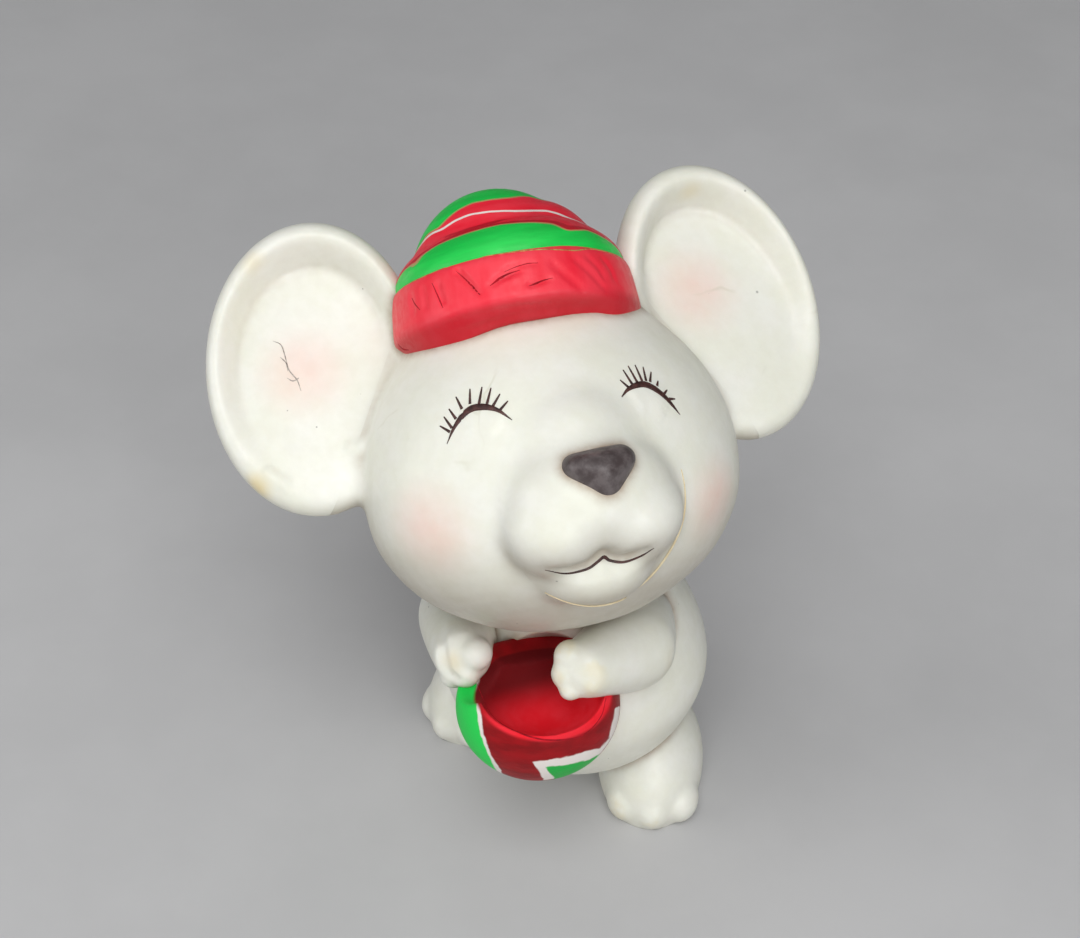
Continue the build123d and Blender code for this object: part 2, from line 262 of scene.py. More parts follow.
# %% Lines on the skin
def trace(piece, pixels, steps=6):
    """Where a smooth line through these pixels of the photo meets a piece, with the skin's normals."""
    tree = BVHTree.FromObject(piece, bpy.context.evaluated_depsgraph_get())
    spots = []
    for u, v, _ in smooth_curve([(u, v, 0) for u, v in pixels], steps):
        spot, normal, _, _ = tree.ray_cast(camera.location, photo_ray(u, v))
        if spot:
            spots.append((spot, normal))
    return spots


def press(piece, spots, width, depth):
    """Press a line of spots into a piece like a modelling tool, or raise it where the depth is negative."""
    places = read_all(piece.data.vertices, "co")
    line = np.array([spot for spot, _ in spots])
    normals = np.array([normal for _, normal in spots])
    padded = np.pad(normals, ((3, 3), (0, 0)), mode="edge")
    normals = sum(padded[shift:shift + len(line)] for shift in range(7))
    normals /= np.linalg.norm(normals, axis=1)[:, None]
    reach = np.ptp(line, axis=0).max() + 2 * width * MM
    close = np.flatnonzero(np.linalg.norm(places - line.mean(0), axis=1) < reach)
    gaps = np.linalg.norm(places[close, None] - line[None], axis=2)
    nearest = gaps.argmin(1)
    share = np.clip(gaps.min(1) / (width * MM), 0, 1)
    last = len(line) - 1
    fade = np.clip(5 * np.minimum(nearest, last - nearest) / last + 0.1, 0, 1)
    push = depth * MM * fade * (1 - share ** 2) ** 2
    places[close] -= normals[nearest] * push[:, None]
    move_to(piece, places)


# %% [markdown]
# ## Head, muzzle and ears as one skin
#
# On the real figurine the ears flow out of the head and the muzzle swells out
# of the face without an edge. Separate meshes can't show that, so they are
# first modelled as overlapping forms, melted together with a voxel remesh and
# softened. Afterwards the skin is cut apart again where the pieces meet, so
# that each keeps its own name.

# %% Head egg
CHEEK_WIDTH = 15.3
HEAD_DEPTH = 13.35
CHIN_DROP = 12.0
CROWN_RISE = 19.2
BELOW_CHEEK_SHARES = ((-1.0, 0.0), (-0.93, 0.36), (-0.68, 0.73), (-0.34, 0.94))
ABOVE_CHEEK_SHARES = (
    (0.0, 1.0), (0.21, 0.975), (0.42, 0.865), (0.62, 0.67), (0.82, 0.44), (0.95, 0.22), (1.0, 0.0),
)


def rounded_outline(points, steps):
    """A smooth outline through points of radius and height that never crosses the axis."""
    return [(max(point.x, 0), point.y) for point in smooth_curve(points, steps)]


egg_points = [(width * CHEEK_WIDTH, rise * CHIN_DROP) for rise, width in BELOW_CHEEK_SHARES]
egg_points += [(width * CHEEK_WIDTH, rise * CROWN_RISE) for rise, width in ABOVE_CHEEK_SHARES]
narrowed = Matrix.Diagonal((MM, HEAD_DEPTH / CHEEK_WIDTH * MM, MM, 1))
egg = turned_form(HEAD @ narrowed, rounded_outline(egg_points, 4))
print("head egg:", len(egg.data.polygons), "faces")

# %% Muzzle forms
muzzle_parts = [
    ball(turned(HEAD, 0, -10.4, -1.2), 7.0, 6.6, 5.4),
    ball(turned(HEAD, 0, -8.6, 1.8), 6.3, 6.2, 6.4),
    ball(turned(HEAD, 0, -9.6, -6.6), 4.8, 3.6, 3.2),
    ball(turned(HEAD, -2.9, -11.6, -3.0), 4.3, 4.7, 4.0),
    ball(turned(HEAD, 2.9, -11.6, -3.0), 4.3, 4.7, 4.0),
]
print("muzzle forms:", len(muzzle_parts))

# %% [markdown]
# ## Ears
#
# Each ear is an oval with a thick rolled rim and a flat floor. One outline
# holds the back, the rim and the front. Turned once round and stretched to an
# oval it makes the ear. The floor is then sunk in code, because it slopes: it
# lies deep under a broad wall at the top and runs out level at the bottom.

# %% Ears
EAR_WIDTH = 8.75
EAR_HEIGHT = 11.9
EAR_OUTLINE = (
    (0.0, 2.1), (0.55, 2.05), (0.83, 1.7), (0.97, 0.7), (1.0, -0.5), (0.965, -1.5), (0.91, -1.95),
    (0.87, -2.0), (0.82, -1.95), (0.77, -1.9), (0.72, -1.9), (0.69, -1.9), (0.5, -1.9), (0.25, -1.9),
    (0.0, -1.9),
)
FLOOR_EDGE = 0.71
WALL_EDGE = 0.89
FLOOR_DEPTH = 1.4
FLOOR_SLOPE = 2.1


def ear_form(side):
    """One ear, left for side 1 and right for side -1, before it is melted into the head."""
    place = turned(HEAD, side * 17.0, 2.85, 12.2, about_y=-side * 6.85)
    place = turned(turned(place, 0, 0, 0, about_z=side * 11.2), 0, 0, 0, about_x=-5.5)
    ear = turned_form(Matrix.Identity(4), rounded_outline(EAR_OUTLINE, 3), steps=72)
    for vertex in ear.data.vertices:
        if vertex.co.z < 0:
            wall = min(1, max(0, (WALL_EDGE - vertex.co.xy.length) / (WALL_EDGE - FLOOR_EDGE)))
            depth = FLOOR_DEPTH - FLOOR_SLOPE * max(-0.72, vertex.co.y)
            vertex.co.z += depth * wall * sqrt(wall)
    return settle(ear, stretched(turned(place, 0, 0, 0, about_x=-90), EAR_WIDTH, EAR_HEIGHT, 1))


ears = [ear_form(1), ear_form(-1)]
print("ear forms:", [len(ear.data.polygons) for ear in ears])

# %% [markdown]
# ## Melt the head together
#
# A voxel remesh turns the overlapping forms into one skin. A general smooth
# rounds it all a little, and a second, local one lets the muzzle and the ear
# roots flow into the head, which a single setting can't do without also
# wearing away the rims of the ears.

# %% Melt the head together
EAR_ROOTS = ((13.0, 0.5, 4.5), (-13.0, 0.5, 4.5), (10.5, 0.5, 10.0), (-10.5, 0.5, 10.0))

skin = fused("head_skin", [egg] + muzzle_parts + ears, voxel=0.25, rounds=8)
soften(skin, [HEAD @ (Vector((0, y, z)) * MM) for y, z in ((-13, -2), (-12, 4))], reach=11, rounds=120)
soften(skin, [HEAD @ (Vector(root) * MM) for root in EAR_ROOTS], reach=6.5, rounds=60)
print("head skin:", len(skin.data.polygons), "faces")

# %% [markdown]
# ## Mouth, eyelids and ear lips
#
# The mouth is a groove under the two lips, as if pressed in with a thin tool.
# The closed eyelids swell slightly below the painted lashes, and so does the
# lower rim of the right ear where it runs into the head.

# %% Mouth, eyelids and ear lips
MOUTH_PIXELS = (
    (545, 570), (566, 573.5), (587, 569), (598, 561.5), (604, 557), (610, 560.5), (624, 562), (641, 556),
    (654, 548),
)
SWELLINGS = (
    (((462, 428), (483, 419), (502, 428)), 2.0, 0.16),
    (((632, 404), (648, 397), (668, 412)), 2.0, 0.16),
    (((262, 468), (276, 480), (292, 488)), 0.9, 0.22),
    (((344, 447), (356, 447), (367, 443)), 0.9, 0.22),
)

mouth_line = trace(skin, MOUTH_PIXELS)
press(skin, mouth_line, width=1.6, depth=0.5)
press(skin, mouth_line, width=0.7, depth=0.45)
for line, width, rise in SWELLINGS:
    press(skin, trace(skin, line), width, -rise)
print("mouth pressed, and swellings raised:", len(SWELLINGS))

# %% [markdown]
# ## Cut the skin apart at the real joints
#
# The ears plug into the sides of the head and the muzzle is an oval insert, so
# the skin is divided there by booleans: each ear with a block that stands on a
# slanting plane, and the muzzle with an oval plug. The head keeps a hair-wide
# rim beyond each ear's cut, tucked just under the ear's skin, so that no light
# slips through the joint.

# %% Divide head, ears and muzzle
POCKET_X = 0.3
POCKET_Z = -1.5
POCKET_HALF_WIDTH = 7.3
POCKET_HALF_HEIGHT = 8.1
POCKET_FLOOR_Y = -7.0
LEFT_EAR_CUT = turned(HEAD, 12.5, 0, 10.2, about_y=60.0)
RIGHT_EAR_CUT = turned(HEAD, -12.5, 0, 10.2, about_y=-60.0)
SEAM_OVERLAP = 0.15
BLOCK_HALF = 30.0
PLUG_HALF_LENGTH = 10.0
SEAM_TUCK = 0.05


def copy_of(piece, name):
    """A copy of a piece with its own mesh."""
    twin = piece.copy()
    twin.data = piece.data.copy()
    bpy.context.collection.objects.link(twin)
    return named(twin, name)


def combine(piece, tool, operation):
    """Keep what a piece shares with a tool, or take the tool away from it."""
    apply_modifier(piece, "BOOLEAN", object=tool, operation=operation, solver="EXACT")


def divide(piece, plane, operation):
    """Keep what lies above the XY plane of a frame, or take it away, with a block on that plane."""
    place = stretched(turned(plane, 0, 0, BLOCK_HALF), BLOCK_HALF, BLOCK_HALF, BLOCK_HALF)
    block = settle(added(bpy.ops.mesh.primitive_cube_add, size=2), place)
    combine(piece, block, operation)
    bpy.data.objects.remove(block)


def tuck_rim(piece, plane):
    """Push the rim that a piece keeps beyond a plane a hair under its neighbour's skin."""
    places = read_all(piece.data.vertices, "co")
    normals = read_all(piece.data.vertices, "normal")
    beyond = (places - np.array(plane.translation)) @ np.array(plane.to_3x3().col[2].normalized())
    push = SEAM_TUCK * np.clip(beyond / MM / SEAM_OVERLAP, 0, 1) * MM
    move_to(piece, places - normals * push[:, None])


def take_shading(piece, whole):
    """Give a cut piece the normals of the whole skin, so that the light doesn't break at the cut."""
    smooth(piece)
    apply_modifier(
        piece, "DATA_TRANSFER", object=whole, use_loop_data=True,
        data_types_loops={"CUSTOM_NORMAL"}, loop_mapping="POLYINTERP_NEAREST",
    )


whole_skin = copy_of(skin, "whole_skin")
ear_left = copy_of(skin, "ear_left_dish")
ear_right = copy_of(skin, "ear_right_dish")
for ear, plane in ((ear_left, LEFT_EAR_CUT), (ear_right, RIGHT_EAR_CUT)):
    divide(ear, plane, "INTERSECT")
    divide(skin, turned(plane, 0, 0, SEAM_OVERLAP), "DIFFERENCE")
    tuck_rim(skin, plane)

plug_place = turned(HEAD, POCKET_X, POCKET_FLOOR_Y - PLUG_HALF_LENGTH, POCKET_Z, about_x=90)
plug = settle(
    added(bpy.ops.mesh.primitive_cylinder_add, vertices=96, radius=1, depth=2),
    stretched(plug_place, POCKET_HALF_WIDTH, POCKET_HALF_HEIGHT, PLUG_HALF_LENGTH),
)
head = named(skin, "head_egg")
muzzle = copy_of(head, "muzzle_insert")
combine(muzzle, plug, "INTERSECT")
combine(head, plug, "DIFFERENCE")
bpy.data.objects.remove(plug)
for piece in (head, muzzle, ear_left, ear_right):
    take_shading(piece, whole_skin)
    print(piece.name, len(piece.data.polygons), "faces")

# %% [markdown]
# ## Torso
#
# The torso is a plain pear. It reaches a little way up into the head, as the
# moulded neck does, so no gap can open at the collar line.

# %% Torso
TORSO_OUTLINE = (
    (0.0, 2.6), (3.2, 3.0), (6.4, 4.6), (9.6, 7.6), (11.4, 11.4), (11.6, 14.5), (10.4, 18.4),
    (8.3, 22.2), (6.7, 26.0), (5.0, 28.5), (2.8, 29.6), (0.0, 30.0),
)
TORSO = turned(BODY, 0.85, 4.3, 0)

pear = turned_form(TORSO @ Matrix.Scale(MM, 4), rounded_outline(TORSO_OUTLINE, 4))
torso = fused("torso_pear", [pear], voxel=0.25, rounds=6)
print("torso:", len(torso.data.polygons), "faces")

# %% [markdown]
# ## Arms
#
# An arm is an upper arm and a forearm that meet at a soft elbow, with a paw of
# short fat fingers. The fingers are only just told apart, so they are melted
# in and softened like the muzzle.

# %% Arms
SHOULDER_RADIUS = 3.6
ELBOW_RADIUS = 3.7
PAW_RADIUS = 2.6


def limb(start, start_radius, end, end_radius):
    """A tapered limb with round ends between two points of the body frame."""
    start = Vector(start)
    end = Vector(end)
    length = (end - start).length
    low = start_radius * sqrt(0.5)
    high = end_radius * sqrt(0.5)
    outline = [
        (0, -start_radius), (low, -low), (start_radius, 0),
        (end_radius, length), (high, length + high), (0, length + end_radius),
    ]
    lie = (end - start).to_track_quat("Z", "Y").to_matrix().to_4x4()
    place = BODY @ Matrix.Translation(start * MM) @ lie @ Matrix.Scale(MM, 4)
    return turned_form(place, rounded_outline(outline, 5), steps=40)


def arm(name, shoulder, elbow, paw, fingers):
    """One arm from the shoulder past the elbow to the paw, with each finger's place and radius."""
    upper_arm = limb(shoulder, SHOULDER_RADIUS, elbow, ELBOW_RADIUS)
    parts = [upper_arm, limb(elbow, ELBOW_RADIUS, paw, PAW_RADIUS)]
    for x, y, z, radius in fingers:
        parts.append(ball(turned(BODY, x, y, z), radius, radius, radius))
    return fused(name, parts, voxel=0.2, rounds=14)


arm_left = arm(
    "arm_left_soft", (6.6, 3.2, 20.6), (8.4, -0.9, 21.5), (7.2, -6.6, 23.7),
    ((5.8, -7.2, 24.8, 1.4), (5.9, -8.0, 23.6, 1.35), (6.5, -8.7, 22.7, 0.95), (8.0, -7.9, 23.7, 1.2)),
)
arm_right = arm(
    "arm_right_soft", (-6.6, 3.2, 19.8), (-7.9, -0.4, 17.8), (-3.9, -7.6, 21.4),
    ((-2.3, -8.3, 22.6, 1.45), (-2.9, -9.1, 20.9, 1.35), (-4.1, -8.9, 20.0, 1.25)),
)
SLEEVE_PIXELS = ((440, 622), (441, 640), (443, 657), (447, 671), (455, 679), (463, 686))
press(arm_right, trace(arm_right, SLEEVE_PIXELS), width=0.8, depth=0.3)
print("arms:", len(arm_left.data.polygons), len(arm_right.data.polygons), "faces")

# %% [markdown]
# ## Feet and tail
#
# A foot is a deep wedge of a ball with three toes along its front, cut flat
# where it stands. The tail is a short curl that lies against the back.

# %% Feet and tail
TAIL_RING = 11.0
TAIL_HEIGHT = 5.6
TAIL_START = 80
TAIL_END = 150
TAIL_THICKNESS = 1.5
TAIL_TAPER = 0.4
FLOOR = Matrix.Identity(4)


def cut_away(piece, plane, keep_above):
    """Cut a piece by the XY plane of a frame, fill the cut and keep one side."""
    select_only(piece)
    bpy.ops.object.mode_set(mode="EDIT")
    bpy.ops.mesh.select_all(action="SELECT")
    bpy.ops.mesh.bisect(
        plane_co=plane.translation,
        plane_no=plane.to_3x3().col[2].normalized(),
        use_fill=True,
        clear_inner=keep_above,
        clear_outer=not keep_above,
    )
    bpy.ops.object.mode_set(mode="OBJECT")


def smooth_but_edges(piece, angle=50):
    """Shade a piece smoothly and leave its sharp cut edges sharp."""
    select_only(piece)
    bpy.ops.object.shade_smooth_by_angle(angle=radians(angle))


def foot(name, x, y, splay):
    """One foot at its place, splayed outwards."""
    place = turned(BODY, x, y, 0, about_z=splay)
    parts = [ball(turned(place, -0.2, 0.4, 2.0), 4.8, 7.5, 6.5)]
    for step in (-1, 0, 1):
        parts.append(ball(turned(place, step * 2.3, abs(step) * 0.9 - 5.1, 1.7), 1.85, 2.45, 2.2))
    piece = fused(name, parts, voxel=0.2, rounds=16)
    cut_away(piece, FLOOR, keep_above=True)
    smooth_but_edges(piece)
    return piece


foot_left = foot("foot_left_toes", 8.4, 5.1, 24.0)
foot_right = foot("foot_right_toes", -8.6, 6.9, -18.0)

tail_beads = []
for angle in range(TAIL_START, TAIL_END + 1, 5):
    bead_x = TAIL_RING * cos(radians(angle))
    bead_y = TAIL_RING * sin(radians(angle))
    thickness = TAIL_THICKNESS - TAIL_TAPER * (angle - TAIL_START) / (TAIL_END - TAIL_START)
    tail_beads.append(ball(turned(TORSO, bead_x, bead_y, TAIL_HEIGHT), thickness, thickness, thickness))
tail = fused("tail_curl", tail_beads, voxel=0.2, rounds=8)
print("feet and tail:", [len(piece.data.polygons) for piece in (foot_left, foot_right, tail)])

# %% [markdown]
# ## Nose
#
# The nose is a domed button, a rounded triangle with its point down. Balls at
# its three corners and one in the middle, wrapped in their convex hull, make
# just that shape, and the remesh rounds it off.

# %% Nose
nose_hull = joined("nose_hull", [
    ball(turned(HEAD, -1.4, -15.2, 1.1), 1.15, 2.0, 1.1),
    ball(turned(HEAD, 2.05, -15.2, 1.2), 1.15, 2.0, 1.1),
    ball(turned(HEAD, 0.45, -15.2, -0.55), 1.55, 2.1, 1.25),
    ball(turned(HEAD, 0.4, -15.2, 0.55), 1.6, 2.7, 1.75),
])
bpy.ops.object.mode_set(mode="EDIT")
bpy.ops.mesh.select_all(action="SELECT")
bpy.ops.mesh.convex_hull()
bpy.ops.object.mode_set(mode="OBJECT")
nose = fused("nose_button", [nose_hull], voxel=0.12, rounds=34)
print("nose:", len(nose.data.polygons), "faces")

# %% [markdown]
# ## Hat
#
# The hat is tipped back on the head. Its rolled cuff has a bright outer face
# and a slanting underside with a clear fold between them. The crown above is
# a low dome with a steeper peak that leans to the mouse's right.

# %% Hat
HAT = turned(turned(HEAD, -0.7, -0.3, 12.0), 0, 0, 0, about_x=-8.0, about_y=1.5)
HAT_DEPTH_SHARE = 1.02
CROWN_START = 4.4
CUFF_OUTLINE = (
    (0, -1.0), (7.9, -1.0), (8.4, -0.8), (9.0, 0.0), (9.75, 1.05), (9.95, 1.25), (10.03, 1.5),
    (9.98, 2.3), (9.85, 3.5), (9.68, 4.5), (9.5, 4.95), (9.0, 5.25), (0, 5.3),
)

deepened = Matrix.Diagonal((MM, HAT_DEPTH_SHARE * MM, MM, 1))
cuff = fused("hat_cuff_roll", [turned_form(HAT @ deepened, CUFF_OUTLINE, steps=128)], voxel=0.2, rounds=3)
crown_parts = [
    ball(turned(HAT, 0, 0, 5.1), 9.4, 9.4 * HAT_DEPTH_SHARE, 4.4),
    ball(turned(HAT, -0.8, 0, 5.1), 7.1, 7.1 * HAT_DEPTH_SHARE, 7.25),
    ball(turned(HAT, 2.5, 0, 5.1), 5.3, 6.9 * HAT_DEPTH_SHARE, 5.9),
]
crown = fused("hat_crown_knit", crown_parts, voxel=0.2, rounds=30)
cut_away(crown, turned(HAT, 0, 0, CROWN_START), keep_above=True)


def eased(values, low, high):
    """Values spread smoothly from 0 at low to 1 at high."""
    share = np.clip((values - low) / (high - low), 0, 1)
    return share * share * (3 - 2 * share)


HANG = 0.2
HANG_LEFT = 0.5
HANG_LEFT_LOW = 0.65
HANG_RIGHT = 0.1
HANG_RIGHT_LOW = 0.4
HEM_HANG_LEFT = 1.6
HEM_HANG_RIGHT = 0.4
HEM_RISE_FRONT = 0.75


def in_frame(places, place):
    """Places in metres as millimetres in a frame."""
    return (places - np.array(place.translation)) @ np.array(place.to_3x3()) / MM


def droop(piece):
    """Let the two ends of the hat hang a little, the mouse's left one most and its hem more."""
    places = read_all(piece.data.vertices, "co")
    x, _, z = in_frame(places, HAT).T
    low = 1 - eased(z, 0.5, 4.5)
    hem = 1 - eased(z, -0.6, 1.3)
    fall = HANG + eased(x, 2, 9.5) * (HANG_LEFT + HANG_LEFT_LOW * low)
    fall += eased(-x, 3, 9.5) * (HANG_RIGHT + HANG_RIGHT_LOW * low)
    fall += hem * (HEM_HANG_LEFT * eased(x, 4.5, 9.5) + HEM_HANG_RIGHT * eased(-x, 6, 9.5))
    fall -= hem * HEM_RISE_FRONT * (1 - eased(np.abs(x - 0.8), 2.5, 8.0))
    move_to(piece, places - fall[:, None] * MM * np.array(HAT.to_3x3().col[2]))


droop(cuff)
droop(crown)
print("hat:", len(cuff.data.polygons), len(crown.data.polygons), "faces")

# %% [markdown]
# ## Carved knit of the cuff
#
# The carver only hinted at the knit, with a few slanting dents. The ones made
# here follow the photo, and the back of the cuff is left smooth.

# %% Carve the cuff
CUFF_DENTS = (
    (((409, 292), (412, 303), (414, 317)), 0.5, 0.1),
    (((422, 284), (424, 297), (427, 312)), 0.5, 0.08),
    (((437, 281), (439, 292), (445, 306)), 0.5, 0.14),
    (((454, 268), (465, 279), (481, 296)), 0.5, 0.3),
    (((489, 287), (499, 279), (510, 274), (522, 269)), 0.45, 0.25),
    (((527, 287), (538, 282), (554, 277)), 0.4, 0.22),
    (((500, 273), (515, 266), (540, 262)), 0.4, 0.12),
    (((548, 260), (566, 275), (588, 293)), 0.6, 0.14),
    (((570, 255), (590, 272), (608, 292)), 0.5, 0.12),
    (((584, 254), (598, 267), (607, 282)), 0.4, 0.1),
    (((600, 256), (610, 268), (616, 284)), 0.4, 0.1),
    (((430, 330), (470, 318), (510, 308), (560, 303)), 0.6, 0.1),
    (((450, 335), (500, 322), (545, 312), (590, 311)), 0.6, 0.08),
)
for dent, width, depth in CUFF_DENTS:
    press(cuff, trace(cuff, dent), width, depth)
print("dents carved:", len(CUFF_DENTS))

# %% [markdown]
# ## Stocking
#
# The stocking is a small bag. A ball is cut off at a mouth that looks up and
# forward, and remeshed to a fine clay. Round spoons are then pressed into it:
# one for the hollow, one where the back of the rim dips against the chest and
# one where a paw holds the rim down. Another spoon makes room for the bag in
# the belly.

# %% Stocking
BAG = turned(BODY, 3.35, -7.6, 18.5, about_z=28.0)
BAG_MOUTH = turned(turned(BODY, 4.3, -9.1, 22.5, about_z=28.0), 0, 0, 0, about_x=25.0)
BAG_DIP = turned(BODY, 1.2, -5.6, 25.6, about_z=28.0)
PAW_NOTCH = turned(BODY, -1.9, -10.0, 23.0)
BELLY_SPOON = turned(BAG, 0, 0, 0, about_x=90.0)


def press_spoon(piece, place, half_width, half_depth, half_height, only_below=None):
    """Press a round spoon into a piece down the Z axis of a frame."""
    places = read_all(piece.data.vertices, "co")
    local = in_frame(places, place)
    inside = 1 - (local[:, 0] / half_width) ** 2 - (local[:, 1] / half_depth) ** 2
    bowl = -half_height * np.sqrt(np.clip(inside, 0, 1))
    pressed = (inside > 0) & (local[:, 2] > bowl)
    if only_below:
        pressed &= in_frame(places, only_below)[:, 2] < 0
    drop = np.where(pressed, local[:, 2] - bowl, 0)
    move_to(piece, places - drop[:, None] * MM * np.array(place.to_3x3().col[2]))


FIRST_SPOONS = (
    (turned(BAG_MOUTH, -0.1, 0.2, 0), 5.2, 4.3, 5.0),
    (BAG_DIP, 5.2, 4.8, 4.7),
    (PAW_NOTCH, 3.3, 3.4, 3.0),
)
bag = ball(turned(BAG, -0.25, 0, 0), 6.85, 5.9, 6.7)
cut_away(bag, BAG_MOUTH, keep_above=False)
clay = fused("stocking_clay", [bag], voxel=0.16, rounds=4)
for spoon in FIRST_SPOONS:
    press_spoon(clay, *spoon)
stocking = fused("stocking_bag", [clay], voxel=0.16, rounds=30)
press_spoon(torso, BELLY_SPOON, 6.35, 6.4, 5.6, only_below=BAG_MOUTH)
smooth_but_edges(torso)
print("stocking:", len(stocking.data.polygons), "faces")

# %% [markdown]
# ## Painted lines
#
# The eyes, lashes and mouth were painted by hand with thick enamel, which
# stands a hair proud of the vinyl. Each stroke is a narrow grid laid along a
# traced line, domed across and tapered at its ends like a brush stroke, and
# given a little thickness so that it is a closed piece.

# %% Brush strokes
STROKE_LIFT = 0.02
STROKE_THICKNESS = 0.06
STROKE_ROWS = 4


def stroke(name, spots, widths, height):
    """A raised stroke along spots of a skin, with widths in millimetres from its start to its end."""
    steps = len(spots) - 1
    grid = added(bpy.ops.mesh.primitive_grid_add, x_subdivisions=steps, y_subdivisions=STROKE_ROWS, size=1)
    piece = named(grid, name)
    wide = np.interp(np.linspace(0, 1, steps + 1), np.linspace(0, 1, len(widths)), widths)
    for vertex in piece.data.vertices:
        along = round((vertex.co.x + 0.5) * steps)
        across = vertex.co.y * 2
        spot, normal = spots[along]
        ahead = spots[min(along + 1, steps)][0] - spots[max(along - 1, 0)][0]
        aside = normal.cross(ahead).normalized()
        dome = height * (1 - across * across) * min(1, wide[along] / max(widths) + 0.2)
        vertex.co = spot + aside * across * wide[along] / 2 * MM + normal * (dome + STROKE_LIFT) * MM
    apply_modifier(piece, "SOLIDIFY", thickness=STROKE_THICKNESS * MM, offset=-1)
    smooth(piece)
    return piece


print("stroke rows:", STROKE_ROWS)

# %% Eyes and lashes
RIGHT_EYE_PIXELS = (
    (447, 444), (454, 428), (462.5, 416), (471, 409), (481, 407), (491, 408), (500, 411.5), (512, 420),
)
LEFT_EYE_PIXELS = (
    (621, 398), (627.5, 390), (636, 385.5), (645, 384.5), (655, 389), (665, 397), (673, 406), (680, 415),
)
EYE_WIDTHS = (0.05, 0.28, 0.5, 0.6, 0.58, 0.45, 0.28, 0.06)
LASH_WIDTHS = (0.24, 0.2, 0.17, 0.1)
RIGHT_LASHES = (
    ((450, 432), (440, 426)), ((452, 428), (444, 417)), ((456, 419), (449, 409)), ((462, 409), (456, 397)),
    ((470, 404), (470, 389)), ((479, 404), (482, 387)), ((487, 404), (491, 388)), ((493, 406), (500, 394)),
    ((500, 410), (508, 401)),
)
LEFT_LASHES = (
    ((628, 387), (620, 380)), ((632, 384), (623, 370)), ((637, 382), (628, 366)), ((642, 381), (635, 365)),
    ((646, 381), (643, 367)), ((650, 382), (651, 372)), ((657, 386), (658, 381)), ((664, 394), (667, 390)),
    ((669, 399), (675, 399)),
)


def painted_eye(name, lid, lashes):
    """A closed eye: one full stroke along the lid and a short one for each lash."""
    strokes = [stroke(name, trace(head, lid, 8), EYE_WIDTHS, 0.05)]
    for foot_pixel, tip_pixel in lashes:
        strokes.append(stroke(name, trace(head, (foot_pixel, tip_pixel), 6), LASH_WIDTHS, 0.04))
    return joined(name, strokes)


eye_right = painted_eye("eye_right_lashes", RIGHT_EYE_PIXELS, RIGHT_LASHES)
eye_left = painted_eye("eye_left_lashes", LEFT_EYE_PIXELS, LEFT_LASHES)
print("eyes:", len(eye_right.data.polygons), len(eye_left.data.polygons), "faces")

# %% Mouth line, muzzle seam and scratches
MOUTH_WIDTHS = (0.05, 0.16, 0.2, 0.22, 0.3, 0.22, 0.2, 0.16, 0.05)
SEAM_START = -128
SEAM_END = 8
SEAM_OUTSET = 1.004
IN_FRONT_Y = -30
SEAM_WIDTHS = (0.02, 0.12, 0.2, 0.24, 0.24, 0.16, 0.03)
SCRATCH_WIDTHS = (0.02, 0.09, 0.07, 0.1, 0.02)
EAR_SCRATCHES = (
    ((273, 341), (281, 345), (285, 356), (289, 370), (297, 380), (301, 391)),
    ((280, 357), (286, 363), (288, 371)),
    ((287, 378), (293, 381), (299, 378)),
)
CUFF_SLITS = (
    (((456, 271), (465, 279), (472, 286), (480, 295)), (0.02, 0.08, 0.16, 0.05)),
    (((490, 286), (499, 279), (508, 274), (520, 270)), (0.02, 0.2, 0.12, 0.02)),
    (((529, 286), (536, 283.5), (543, 280.5), (553, 278)), (0.02, 0.16, 0.1, 0.02)),
    (((504, 272), (517, 266.5), (528, 263.5), (538, 263)), (0.02, 0.05, 0.06, 0.02)),
    (((412, 298), (415, 304), (420, 310)), (0.02, 0.1, 0.02)),
    (((432, 283), (437, 294), (440, 301), (443, 308)), (0.02, 0.08, 0.1, 0.02)),
    (((398, 344), (403, 349), (409, 350)), (0.02, 0.14, 0.04)),
)
CUFF_TOP_PIXELS = (
    (396, 290), (405, 286), (420, 278.5), (438, 270.5), (459, 262.8), (483, 256.8), (505, 253.3),
    (525, 250.8), (543, 249.5), (564, 250), (576, 250.5), (590, 249), (606, 252), (618, 257),
)
RIM_PIXELS = ((477, 684), (487, 707), (499, 722), (525, 735), (551, 740), (581, 736), (600, 718), (606, 698))
DAB_PIXELS = ((612, 692), (614, 702), (613, 713))
mouth_paint = stroke("mouth_line", trace(muzzle, MOUTH_PIXELS), MOUTH_WIDTHS, 0.02)
# Painted shade: dark crimson strokes stand for the shade inside the narrow carved slits of the cuff.
slit_shade_strokes = [stroke("slit", trace(cuff, line), widths, 0.0) for line, widths in CUFF_SLITS]
cuff_slit_shade = joined("cuff_slit_shade", slit_shade_strokes)
cuff_edge = stroke("cuff_top_edge", trace(cuff, CUFF_TOP_PIXELS), (0.03, 0.1, 0.12, 0.1, 0.12, 0.03), 0.02)
rim_edge = stroke("stocking_rim_line", trace(stocking, RIM_PIXELS), (0.03, 0.1, 0.14, 0.12, 0.08, 0.03), 0.0)
belly_dab = stroke("belly_red_dab", trace(torso, DAB_PIXELS), (0.4, 0.75, 0.7, 0.3), 0.0)

head_tree = BVHTree.FromObject(head, bpy.context.evaluated_depsgraph_get())
inwards = (HEAD.to_3x3() @ Vector((0, 1, 0))).normalized()
seam_spots = []
for angle in range(SEAM_START, SEAM_END, 3):
    x = POCKET_X + POCKET_HALF_WIDTH * SEAM_OUTSET * cos(radians(angle))
    z = POCKET_Z + POCKET_HALF_HEIGHT * SEAM_OUTSET * sin(radians(angle))
    seam_spots.append(head_tree.ray_cast(HEAD @ (Vector((x, IN_FRONT_Y, z)) * MM), inwards)[:2])
muzzle_seam = stroke("muzzle_seam", seam_spots, SEAM_WIDTHS, 0.12)

